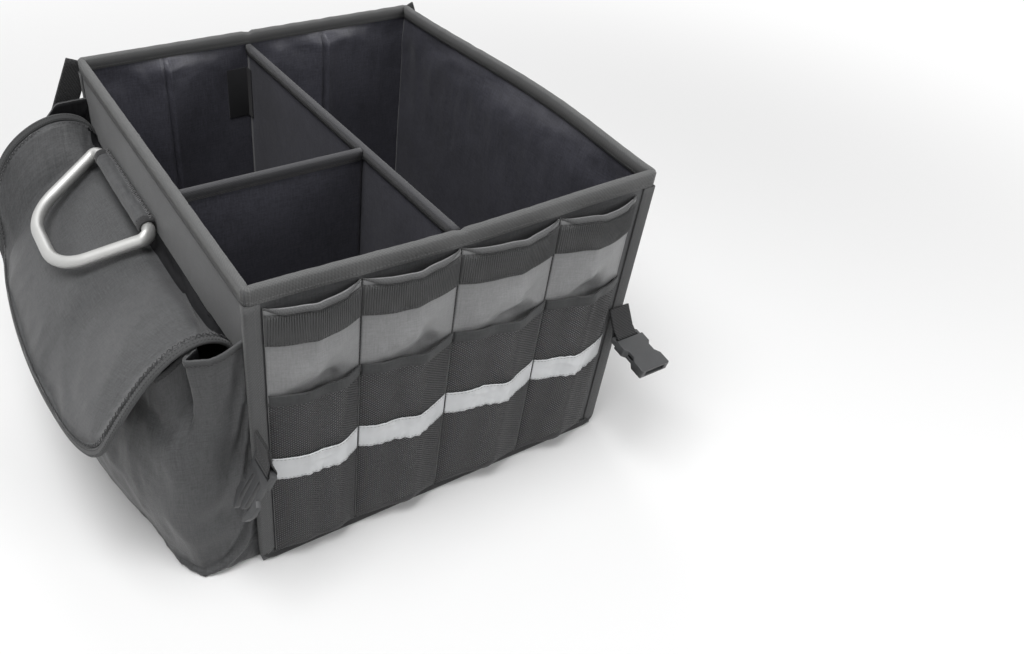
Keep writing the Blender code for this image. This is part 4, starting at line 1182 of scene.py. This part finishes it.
def build_flap():
    columns = 100
    rows = 60

    def place(across, up):
        down = lowest(across) * (1 - up)
        normal = flap_normal(across, down) if down > 0 else Vector((0, 0, 1))
        return flap_point(across, down) + normal * (FLAP / 2 + flap_relief(across, down))

    obj = sheet("flap_cloth", columns, rows, place, (FLAP_REAR - FLAP_FRONT, 0.200), OUTER, (-1, 0, 0.5))
    relax(obj, columns, rows, 1.0, 0.06, 18, 0.0040, 0.012)
    # Painted shadow: a near-black strip of the flap along its seam with the left wall
    second_look(obj, SHADE, lambda middle: LEFT - middle.x < FLAP_SEAM_SHADOW_WIDTH)
    # The flap's underside in the near-black cloth: painted shade under the flap
    settle(thicken(obj, 0.0018, SHADE), ("pocket_flap",))
    build_flap_edge()


def flap_edge_stations():
    """Free edge of the flap from the seam down, along the lower edge and back up."""
    downs = [blend(0.02, lowest(0.0), step / 46) for step in range(47)]
    rounds = [(1 - math.cos(math.pi / 2 * step / 14)) * FLAP_ROUND_SHARE for step in range(1, 14)]
    runs = [blend(FLAP_ROUND_SHARE, 1 - FLAP_ROUND_SHARE, step / 70) for step in range(71)]
    runs = rounds + runs + [1 - share for share in reversed(rounds)]
    spots = [(0.0, down) for down in downs] + [(across, lowest(across)) for across in runs]
    spots += [(1.0, down) for down in reversed(downs)]
    places = [flap_point(*spot) for spot in spots]
    stations = []
    for index, spot in enumerate(spots):
        along = (places[min(len(places) - 1, index + 2)] - places[max(0, index - 2)]).normalized()
        outward = flap_normal(*spot).cross(along).normalized()
        stations.append((places[index], outward, along.cross(outward).normalized()))
    return stations


def build_flap_edge():
    """Binding folded over the flap's edge, its groove and the overlock stitches beside it."""
    stations = flap_edge_stations()
    section = [(math.copysign(abs(way.x) ** 0.7, way.x), math.copysign(abs(way.y) ** 0.8, way.y))
               for way in arc(0, math.tau, 14)[:-1]]
    rings = []
    for index, (place, outward, normal) in enumerate(stations):
        thick = BINDING / 2 * (1 + 0.10 * slow_noise(index * 0.23, 1.0, 50.0))
        centre = place + outward * (GAP + FLAP / 4 + BINDING_WIDTH / 2)
        rings.append([centre + outward * reach * BINDING_WIDTH / 2 + normal * rise * thick
                      for reach, rise in section])
    settle(sweep("flap_edge_tape", rings, FLAP_TAPE), ("flap_binding",))

    def row(reach, rise):
        return [(place + outward * reach + normal * rise, normal) for place, outward, normal in stations]

    stitches("flap_overlock", [row(-0.0012, FLAP / 2 + 0.0008)], DARK_THREAD, pitch=0.0026, length=0.0044,
             thickness=0.0009, lean=0.95)
    stitches("flap_topstitch", [row(reach, BINDING / 2 - 0.0002) for reach in (0.0030, 0.0068)],
             DARK_THREAD, pitch=0.0030, length=0.0022, thickness=0.0011)


def side_reach(y, z):
    """How far the side pocket stands out from the left wall."""
    swell = math.sin(math.pi * clamp(z / SIDE_SWELL_HEIGHT))
    along = clamp((y - SIDE_START) / (SIDE_END - SIDE_START))
    return blend(GUSSET_DEPTH + GUSSET_SWELL * swell, SIDE_DEPTH + SIDE_SWELL * swell,
                 math.sin(math.pi * along) ** 0.7)


def side_plan(share, z):
    """Plan of the side pocket's cloth at one height, from the front corner round to the back."""
    if share < GUSSET_SHARE:
        return side_reach(SIDE_START, z) * share / GUSSET_SHARE, SIDE_START
    if share > 1 - GUSSET_SHARE:
        return side_reach(SIDE_END, z) * (1 - share) / GUSSET_SHARE, SIDE_END
    y = blend(SIDE_START, SIDE_END, (share - GUSSET_SHARE) / (1 - 2 * GUSSET_SHARE))
    return side_reach(y, z), y


def covered_height(share):
    """Highest the cloth can stand below the flap."""
    height = SIDE_LIFT
    step = 0.001
    while height < SEAM_Z + FLAP_RISE:
        reach, y = side_plan(share, height + step)
        y = min(max(y, FLAP_FRONT), FLAP_REAR)
        if height + step > flap_height(y, reach) - BINDING / 2 - FLAP_TUCK:
            break
        height += step
    return height


def mouth_height(share):
    """Top of the cloth: level at the gussets, tucked under the flap between them."""
    if share <= GUSSET_SHARE:
        u = share / GUSSET_SHARE
        return FRONT_GUSSET_TOP - FRONT_GUSSET_FALL * u - 0.0040 * math.sin(math.pi * u)
    under = covered_height(share)
    rear = 1 - GUSSET_SHARE / 2
    if share > 1 - GUSSET_SHARE:
        return blend(covered_height(1 - GUSSET_SHARE), REAR_GUSSET_TOP,
                     smooth_step((share - 1 + GUSSET_SHARE) / (rear - 1 + GUSSET_SHARE)))
    open_part = 1 - smooth_step((share - GUSSET_SHARE) / 0.045)
    return blend(under, FRONT_GUSSET_TOP - FRONT_GUSSET_FALL, open_part)


def pleat(share, z):
    """Tuck of the cloth inward beside the front corner, below the flap's edge."""
    past = share - GUSSET_SHARE
    deep = bump_at(past, 0.0, 0.020 if past < 0 else 0.034)
    return 0.020 * deep * smooth_step((z - 0.165) / 0.045)


def corner_tuck(share, z):
    """How far the pocket's front corner is drawn in below the flap's front edge."""
    if share < GUSSET_SHARE:
        drawn = smooth_step((share / GUSSET_SHARE - 0.25) / 0.75)
    else:
        drawn = math.exp(-(share - GUSSET_SHARE) / 0.05)
    return CORNER_TUCK * drawn * smooth_step((z - 0.120) / 0.110)


def side_relief(share, z):
    """Large soft folds of the pocket, none along its sewn edges."""
    sewn = smooth_step(share / 0.02) * smooth_step((1 - share) / 0.02) * smooth_step(z / 0.02)
    broad = folds(share * 9 + 1.3, z * 8, 41.0) * 0.0046
    return sewn * (broad + 0.0022 * folds(share * 17, z * 12 + share * 6, 45.0))


def gusset_relief(share, z):
    """Folds of the end panel: how far it stands forward between the corner post and the outer corner."""
    u = share / GUSSET_SHARE
    free = math.sin(math.pi * u) ** 0.7 * smooth_step(z / 0.02) * smooth_step((FRONT_GUSSET_TOP - z) / 0.035)
    upper = 0.0050 * bump_at(z - 0.118 + 0.016 * u, 0.0, 0.020)
    lower = 0.0042 * bump_at(z - 0.052 - 0.010 * u, 0.0, 0.016)
    valley = -0.0036 * bump_at(z - 0.088 + 0.020 * u, 0.0, 0.014)
    upright = 0.0040 * bump_at(u - 0.62 + (z - 0.2) * 2.0, 0.0, 0.16) * smooth_step((z - 0.12) / 0.05)
    fine = 0.0022 * folds(u * 1.9, z * 14, 61.0)
    return free * (upper + lower + valley + upright + fine)


def build_side_pocket():
    columns = 201
    rows = 86
    mouths = [mouth_height(column / (columns - 1)) for column in range(columns)]

    def place(share, up):
        z = blend(SIDE_LIFT + 0.0008, mouths[round(share * (columns - 1))], up)
        out, y = side_plan(share, z)
        tuck = pleat(share, z)
        corner = 1 - smooth_step(abs(share - GUSSET_SHARE) / 0.012)
        out += side_relief(share, z) - tuck * 1.20 - 0.0012 * corner - 0.0012
        y += tuck * 0.30 + corner_tuck(share, z)
        if share < GUSSET_SHARE:
            y -= gusset_relief(share, z)
        return Vector((LEFT - GAP - max(out, 0.0002), y, z))

    obj = sheet("side_pocket_cloth", columns, rows, place, (0.62, 0.26), OUTER, (-1, 0, 0))
    relax(obj, columns, rows, 0.7, 0.035, 22, 0.0060, 0.022)
    rest = [vertex.co.copy() for vertex in obj.data.vertices]
    # The pocket's inside faces in the near-black cloth: painted shade inside the pocket
    settle(thicken(obj, SIDE_CLOTH, SHADE), ("side_pocket",))
    build_pocket_mouth(rest[(rows - 1) * columns:], rest[(rows - 4) * columns:(rows - 3) * columns])


def build_pocket_mouth(top_row, below):
    """Hem sewn along the mouth of the side pocket, following the settled cloth."""
    rings = []
    line = []
    for index in range(1, len(top_row) - 1):
        top = top_row[index]
        ahead = top_row[index + 1] - top_row[index - 1]
        outward = Vector((-ahead.y, ahead.x, 0))
        if outward.length < 1e-6:
            continue
        outward.normalize()
        if outward.dot(Vector((-1, -0.6 if index < len(top_row) / 2 else 0.6, 0))) < 0:
            outward = -outward
        down = (below[index] - top).normalized()
        rings.append([top + down * fall + outward * out for fall, out in (
            (-0.0004, 0.0003), (-0.0001, 0.0013), (0.0035, 0.0013), (0.0062, 0.0010), (0.0064, 0.0002),
            (0.0035, -0.0002))])
        line.append((top + down * 0.0050 + outward * 0.0014, outward))
    settle(sweep("side_pocket_hem", rings, FLAP_TAPE), ())
    stitches("side_hem_stitches", [line], DARK_THREAD)


def rod_corner(before, corner, after, radius):
    """Arc that rounds one corner of a flat path."""
    back = (before - corner).normalized()
    ahead = (after - corner).normalized()
    half = back.angle(ahead) / 2
    centre = corner + (back + ahead).normalized() * radius / math.sin(half)
    start = corner + back * radius / math.tan(half) - centre
    turn = start.angle_signed(corner + ahead * radius / math.tan(half) - centre)
    return [centre + Matrix.Rotation(-turn * step / 14, 2) @ start for step in range(15)]


def handle_path():
    """Closed D path in its own plane, each point with a share of how hard the tube is bent."""
    corners = [Vector(spot) for spot in ((0, -HANDLE_BASE / 2), (HANDLE_REACH, -HANDLE_GRIP / 2),
                                         (HANDLE_REACH, HANDLE_GRIP / 2), (0, HANDLE_BASE / 2))]
    radii = (HANDLE_BEND_IN, HANDLE_BEND_OUT, HANDLE_BEND_OUT, HANDLE_BEND_IN)
    arcs = [rod_corner(corners[index - 1], corners[index], corners[(index + 1) % 4], radii[index])
            for index in range(4)]
    path = []
    for arc, following, radius in zip(arcs, arcs[1:] + arcs[:1], radii):
        hard = 1.0 if radius < ROD else 0.12
        path += [(spot, hard * math.sin(math.pi * step / (len(arc) - 1))) for step, spot in enumerate(arc)]
        path += [(arc[-1].lerp(following[0], step / 10), 0.0) for step in range(1, 10)]
    return path


def build_handle(name, node, body, side, turn):
    """Bent tube, a little flattened where it is bent hardest."""
    path = handle_path()
    frame_turn = Matrix.Rotation(turn, 4, "Y")
    origin = Vector((side * (RIGHT + AXIS_OUT), HANDLE_Y, AXIS_Z))
    rings = []
    for index, (spot, hard) in enumerate(path):
        along = (path[(index + 1) % len(path)][0] - path[index - 1][0]).normalized()
        flat = Vector((along.y, -along.x)) * ROD / 2 * (1 - 0.20 * hard)
        wide = ROD / 2 * (1 + 0.24 * hard)
        places = [(spot + flat * way.x, way.y * wide) for way in arc(0, math.tau, 28)[:-1]]
        rings.append([origin + frame_turn @ Vector((side * place.x, place.y, rise))
                      for place, rise in places])
    settle(sweep(name, rings, ALUMINIUM, closed=True), (node,), body)


def build_sleeve(name, node, side):
    """Cloth tube round the rod, gathered at its ends and sewn to the wall along its back."""
    centre = Vector((side * (RIGHT + AXIS_OUT), HANDLE_Y, AXIS_Z))
    half = SLEEVE_LENGTH / 2
    angles = [step * math.tau / 40 for step in range(40)]
    stations = np.linspace(-half, half, 90)
    rings = []
    for y in stations:
        end = 1 - smooth_step((half - abs(y)) / 0.004)
        dent = 0.0007 * bump_at(abs(y), half - 0.010, 0.0012)
        ring = []
        for angle in angles:
            reach = math.cos(angle)
            rise = math.sin(angle)
            soft = folds(y * 26, angle * 0.9 + side, 71.0) * 0.0008
            radius = SLEEVE_OUTSIDE - 0.0004 - 0.0008 * end - dent + soft
            if reach < 0:
                square = min(1 / max(abs(reach), 0.001), 1 / max(abs(rise), 0.001))
                radius *= 1 + (square - 1) * 0.75
            ring.append(centre + Vector((side * radius * reach, y, radius * rise)))
        rings.append(ring)
    for y in reversed(stations):
        rings.append([centre + Vector((side * SLEEVE_INSIDE * math.cos(angle), y * 0.998,
                                       SLEEVE_INSIDE * math.sin(angle))) for angle in angles])
    obj = sweep(name, rings, SLEEVE, closed=True)
    second_look(obj, DARK_TAPE, lambda middle: abs(middle.y - HANDLE_Y) > half - 0.0095)
    settle(obj, (node,))
    lines = []
    for end in (-1, 1):
        outs = [Vector((side * way.x, 0, way.y)) for way in arc(-1.9, 1.9, 24)]
        seam = centre + Vector((0, end * (half - 0.010), 0))
        lines.append([(seam + out * (SLEEVE_OUTSIDE - 0.0006), out) for out in outs])
    stitches(name + "_rings", lines, DARK_THREAD, pitch=0.0026, length=0.0020)
    edge = [centre + Vector((-side * 0.0048, y, SLEEVE_OUTSIDE - 0.0004))
            for y in np.linspace(-half + 0.004, half - 0.004, 60)]
    stitches(name + "_overlock", [facing_line(edge, Vector((side * 0.3, 0, 1)).normalized())], THREAD,
             pitch=0.0030, length=0.0060, thickness=0.0010, lean=1.15)


def build_handles():
    build_handle("left_handle_tube", "handle_left", "left_handle", -1, -LEFT_HANDLE_TILT)
    build_handle("right_handle_tube", "handle_right", "right_handle", 1, math.pi / 2)
    build_sleeve("left_sleeve", "handle_sleeve_left", -1)
    build_sleeve("right_sleeve", "handle_sleeve_right", 1)


def divider_top(y):
    return WALL_TOP + 0.0015 - blend(0.006, 0.015, (y - FRONT) / (BACK - FRONT))


def build_dividers():
    """Two cloth covered boards with a soft swell on both faces and a bound top edge."""
    low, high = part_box("long_divider")
    cross_low, cross_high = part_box("cross_divider")
    middle_x = (low.x + high.x) / 2
    middle_y = (cross_low.y + cross_high.y) / 2
    half = (high.x - low.x) / 2
    runs = [("long", (low.y, high.y), divider_top,
             lambda along, z, depth: Vector((middle_x + depth, along, z)), Vector((1, 0, 0)), 60, 81.0),
            ("cross", (cross_low.x, cross_high.x), lambda x: cross_high.z,
             lambda along, z, depth: Vector((along, middle_y + depth, z)), Vector((0, 1, 0)), 40, 85.0)]
    for name, ends, top, point, across, count, seed in runs:
        def spot(column, row, inside):
            along = blend(ends[0], ends[1], column / 59)
            z = blend(low.z, top(along), row / 39)
            calm = smooth_step((top(along) - 0.010 - z) / 0.02) * smooth_step((z - low.z) / 0.01)
            calm *= smooth_step(min(along - ends[0], ends[1] - along) / 0.01)
            relief = 0.0011 * folds(along * 8, z * 7, seed + inside * 3) * calm
            return point(along, z, (half + relief) * (1 if inside else -1))

        obj = board(name + "_board", 60, 40, spot, (ends[1] - ends[0], WALL_TOP), [INNER], 0.004)
        settle(obj, (name + "_divider",))
    out = half + GAP + TAPE
    leg = 0.009
    crest = [(-out * way.x, 0.0018 * way.y) for way in arc(0, math.pi, 8)]
    profile = [(-out, -leg)] + crest + [
        (out, -leg), (half + GAP, -leg), (half + GAP, -0.0003), (-half - GAP, -0.0003), (-half - GAP, -leg)]
    lines = []
    for name, ends, top, point, across, count, seed in runs:
        places = np.linspace(*ends, count)
        rings = [[point(along, top(along) + rise + GAP, depth) for depth, rise in profile]
                 for along in places]
        settle(sweep(name + "_board_tape", rings, BOARD_TAPE), (name + "_divider_tape",))
        for side in (-1, 1):
            lines.append(facing_line([point(along, top(along) - leg + 0.0025, side * (out + 0.0001))
                                      for along in places], across * side))
    stitches("divider_stitches", lines, DARK_THREAD)


def refine(name, node, look, width=0.0003, body="organizer", segments=3):
    """Copy of a moulded or sewn CAD shape with its edges rounded."""
    mesh = frame["nodes"][node].data.copy()
    mesh.materials.clear()
    mesh.materials.append(look)
    shape = bmesh.new()
    shape.from_mesh(mesh)
    bmesh.ops.remove_doubles(shape, verts=shape.verts, dist=0.00002)
    bmesh.ops.dissolve_limit(shape, angle_limit=math.radians(4), verts=shape.verts, edges=shape.edges)
    shape.to_mesh(mesh)
    shape.free()
    obj = put(name, mesh)
    rounding = obj.modifiers.new("rounded edges", "BEVEL")
    rounding.width = width
    rounding.segments = segments
    rounding.limit_method = "ANGLE"
    rounding.angle_limit = math.radians(35)
    bake(obj)
    obj.data.shade_smooth()
    obj.data.set_sharp_from_angle(angle=math.radians(50))
    settle(obj, (node,), body)


def build_base():
    """Lined floor board and the cloth under the box."""
    low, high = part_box("base_board")

    def top(share, up):
        x = blend(low.x, high.x, share)
        y = blend(low.y, high.y, up)
        edge = smooth_step(min(x - low.x, high.x - x, y - low.y, high.y - y) / 0.012)
        groove = 0.0009 * max(0.0, 1 - abs(x - FOLD_X) / 0.004)
        relief = 0.0008 * folds(x * 9, y * 9, 91.0)
        return Vector((x, y, high.z - 0.0006 + 0.0006 * edge + relief * edge * 0.6 - groove))

    size = (high.x - low.x, high.y - low.y)
    settle(sheet("floor_lining", 70, 70, top, size, INNER, (0, 0, 1), 0.0030), ("base_board",))
    frame["nodes"]["base_panel"].data.materials.clear()
    frame["nodes"]["base_panel"].data.materials.append(OUTER)


def web_loop(name, node, eye, root, width_axis, eye_radius):
    """Webbing doubled round an eye, its two ends sewn together at the root, with rounded edges."""
    toward = (root - eye).normalized()
    sideways = width_axis.cross(toward).normalized()
    wrap = math.radians(125)
    spokes = [sideways * way.y - toward * way.x for way in arc(-wrap, wrap, 24)]
    line = [(eye + spoke * (eye_radius + WEBBING / 2), spoke) for spoke in spokes]
    legs = []
    for side, last in ((1, line[-1][0]), (-1, line[0][0])):
        inner = eye + toward * eye_radius * 2.6 + sideways * side * (GAP + WEBBING / 2)
        finish = root + sideways * side * WEBBING / 2
        leg = [last.lerp(inner, smooth_step(step / 6)) for step in range(1, 6)]
        leg += [inner.lerp(finish, step / 12) for step in range(13)]
        legs.append(facing_line(leg, sideways * side))
    half = WEBBING_WIDTH / 2
    upper = [(-half + 0.0006, 0.42), (-half + 0.002, 0.5), (0.0, 0.46), (half - 0.002, 0.5),
             (half - 0.0006, 0.42)]
    section = [(-half, 0.0)] + upper + [(half, 0.0)] + [(a, -b) for a, b in reversed(upper)]
    rings = []
    for place, out in legs[1][::-1] + line + legs[0]:
        normal = (out - width_axis * out.dot(width_axis)).normalized()
        rings.append([place + width_axis * a + normal * b * WEBBING for a, b in section])
    settle(sweep(name, rings, WEB), (node,))


def sew_box(name, centre, along, across, normal):
    """Box stitch with its cross, on a webbing end."""
    a, b, c, d = [centre + along * long + across * wide for long, wide in (
        (-0.009, -0.0095), (0.009, -0.0095), (0.009, 0.0095), (-0.009, 0.0095))]
    lines = [facing_line(spots, normal) for spots in ([a, b, c, d, a], [a, c], [b, d])]
    stitches(name, lines, DARK_THREAD)


def build_webbing():
    eyes = {joint["name"]: Vector(joint["pos_m"]) for joint in frame["joints"]}
    for part, stand, rise, axis in (("plug", WEBBING_WIDTH / 2, PLUG_TAB_RISE, (0, 1, 0)),
                                    ("socket", WEBBING, SOCKET_TAB_RISE, (1, 0, 0))):
        eye = eyes[part + "_swing"]
        root = Vector((eye.x, FRONT - 2 * GAP - EDGE_THICK - stand, eye.z + rise))
        web_loop(part + "_web", part + "_tab", eye, root, Vector(axis), BUCKLE_EYE)
    backward = Vector((0, 1, 0))
    for way, side in (("left", -1), ("right", 1)):
        name = "rear_%s_web" % way
        root = Vector((side * RIGHT, BACK + 2 * GAP + TAPE + WEBBING,
                       WALL_TOP + TAPE + GAP - REAR_TAB_BELOW_RIM))
        fall = Vector((side * math.sin(REAR_TAB_LEAN), 0, -math.cos(REAR_TAB_LEAN)))
        eye = root + fall * REAR_TAB_LENGTH + backward * REAR_TAB_EYE
        across = Vector((math.cos(REAR_TAB_LEAN), 0, side * math.sin(REAR_TAB_LEAN)))
        web_loop(name, "rear_tab_" + way, eye, root, across, REAR_TAB_EYE)
        toward = (root - eye).normalized()
        spot = root - toward * 0.016 + backward * (WEBBING + 0.0004)
        sew_box(name + "_box_stitch", spot, toward, across, backward)


def build_buckles():
    refine("plug_moulding", "buckle_plug", PLASTIC, 0.0005, "plug")
    refine("socket_moulding", "buckle_socket", PLASTIC, 0.0006, "socket")


def build_hook_tabs():
    for number, place in enumerate(("back", "front", "left", "middle")):
        refine("loop_tab_%d" % (number + 1), "divider_tab_" + place, TAB_LOOK, segments=2)


def declare_cloth():
    """Left empty: gives no flat sizes of the cloth."""


def build_studio():
    """Pale floor that fades to white, a white background, a broad key light, a fill and a rear light."""
    mesh = bpy.data.meshes.new("floor")
    half = 6.0
    mesh.from_pydata([(-half, -half, 0), (half, -half, 0), (half, half, 0), (-half, half, 0)], [],
                     [(0, 1, 2, 3)])
    floor = put("floor", mesh)
    floor.location.z = -0.0006
    look = Look("pale floor", FLOOR_PALE, 0.9, specular=0.1)
    seen = add_node(look.tree, "ShaderNodeLightPath")
    either = look.combine("MAXIMUM", (seen, "Is Camera Ray"), (seen, "Is Glossy Ray"))
    away = add_node(look.tree, "ShaderNodeVectorMath", {0: (look.space, "Object")}, operation="LENGTH")
    far = add_node(look.tree, "ShaderNodeMapRange",
                   {"Value": (away, "Value"), "From Min": FLOOR_NEAR, "From Max": FLOOR_FAR},
                   interpolation_type="SMOOTHSTEP")
    glow = look.combine("MULTIPLY", (far, "Result"), either)
    tone = add_node(look.tree, "ShaderNodeMix", {0: either, 6: (*[FLOOR_BOUNCE] * 3, 1.0),
                                                 7: (*FLOOR_PALE, 1.0)}, data_type="RGBA")
    faded = add_node(look.tree, "ShaderNodeMix", {0: glow, 6: (tone, 2), 7: (0.0, 0.0, 0.0, 1.0)},
                     data_type="RGBA")
    look.link("Base Color", (faded, 2))
    look.shader.inputs["Emission Color"].default_value = (1.0, 1.0, 1.0, 1.0)
    look.link("Emission Strength", glow)
    mesh.materials.append(look.material)

    world = bpy.data.worlds.new("studio")
    bpy.context.scene.world = world
    world.use_nodes = True
    tree = world.node_tree
    back = tree.nodes["Background"]
    back.inputs["Color"].default_value = (1, 1, 1, 1)
    seen = add_node(tree, "ShaderNodeLightPath")
    either = math_node(tree, "MAXIMUM", (seen, "Is Camera Ray"), (seen, "Is Glossy Ray"))
    level = add_node(tree, "ShaderNodeMapRange", {"Value": either, "To Min": WORLD_LEVEL, "To Max": 1.0})
    tree.links.new(level.outputs["Result"], back.inputs["Strength"])

    for name, place, target, size, power in LAMPS:
        data = bpy.data.lights.new(name, "AREA")
        data.size = size
        data.energy = power
        lamp = put(name, data)
        lamp.location = place
        lamp.rotation_euler = (Vector(target) - Vector(place)).to_track_quat("-Z", "Y").to_euler()


def build_camera():
    """Camera at the photograph's view of the box."""
    data = bpy.data.cameras.new("camera")
    camera = put("camera", data)
    camera.location = CAMERA_PLACE
    camera.rotation_euler = CAMERA_TURN
    data.sensor_width = 36
    data.lens = CAMERA_LENS
    data.shift_x = CAMERA_SHIFT
    data.clip_start = 0.01
    bpy.context.scene.camera = camera
    bpy.context.scene.view_settings.view_transform = "Standard"


for build in (build_camera, build_studio, build_base, build_walls, build_rim, build_edges, build_dividers,
              build_hook_tabs, build_front_pockets, build_side_pocket, build_flap, build_handles,
              build_webbing, build_buckles, declare_cloth):
    build()
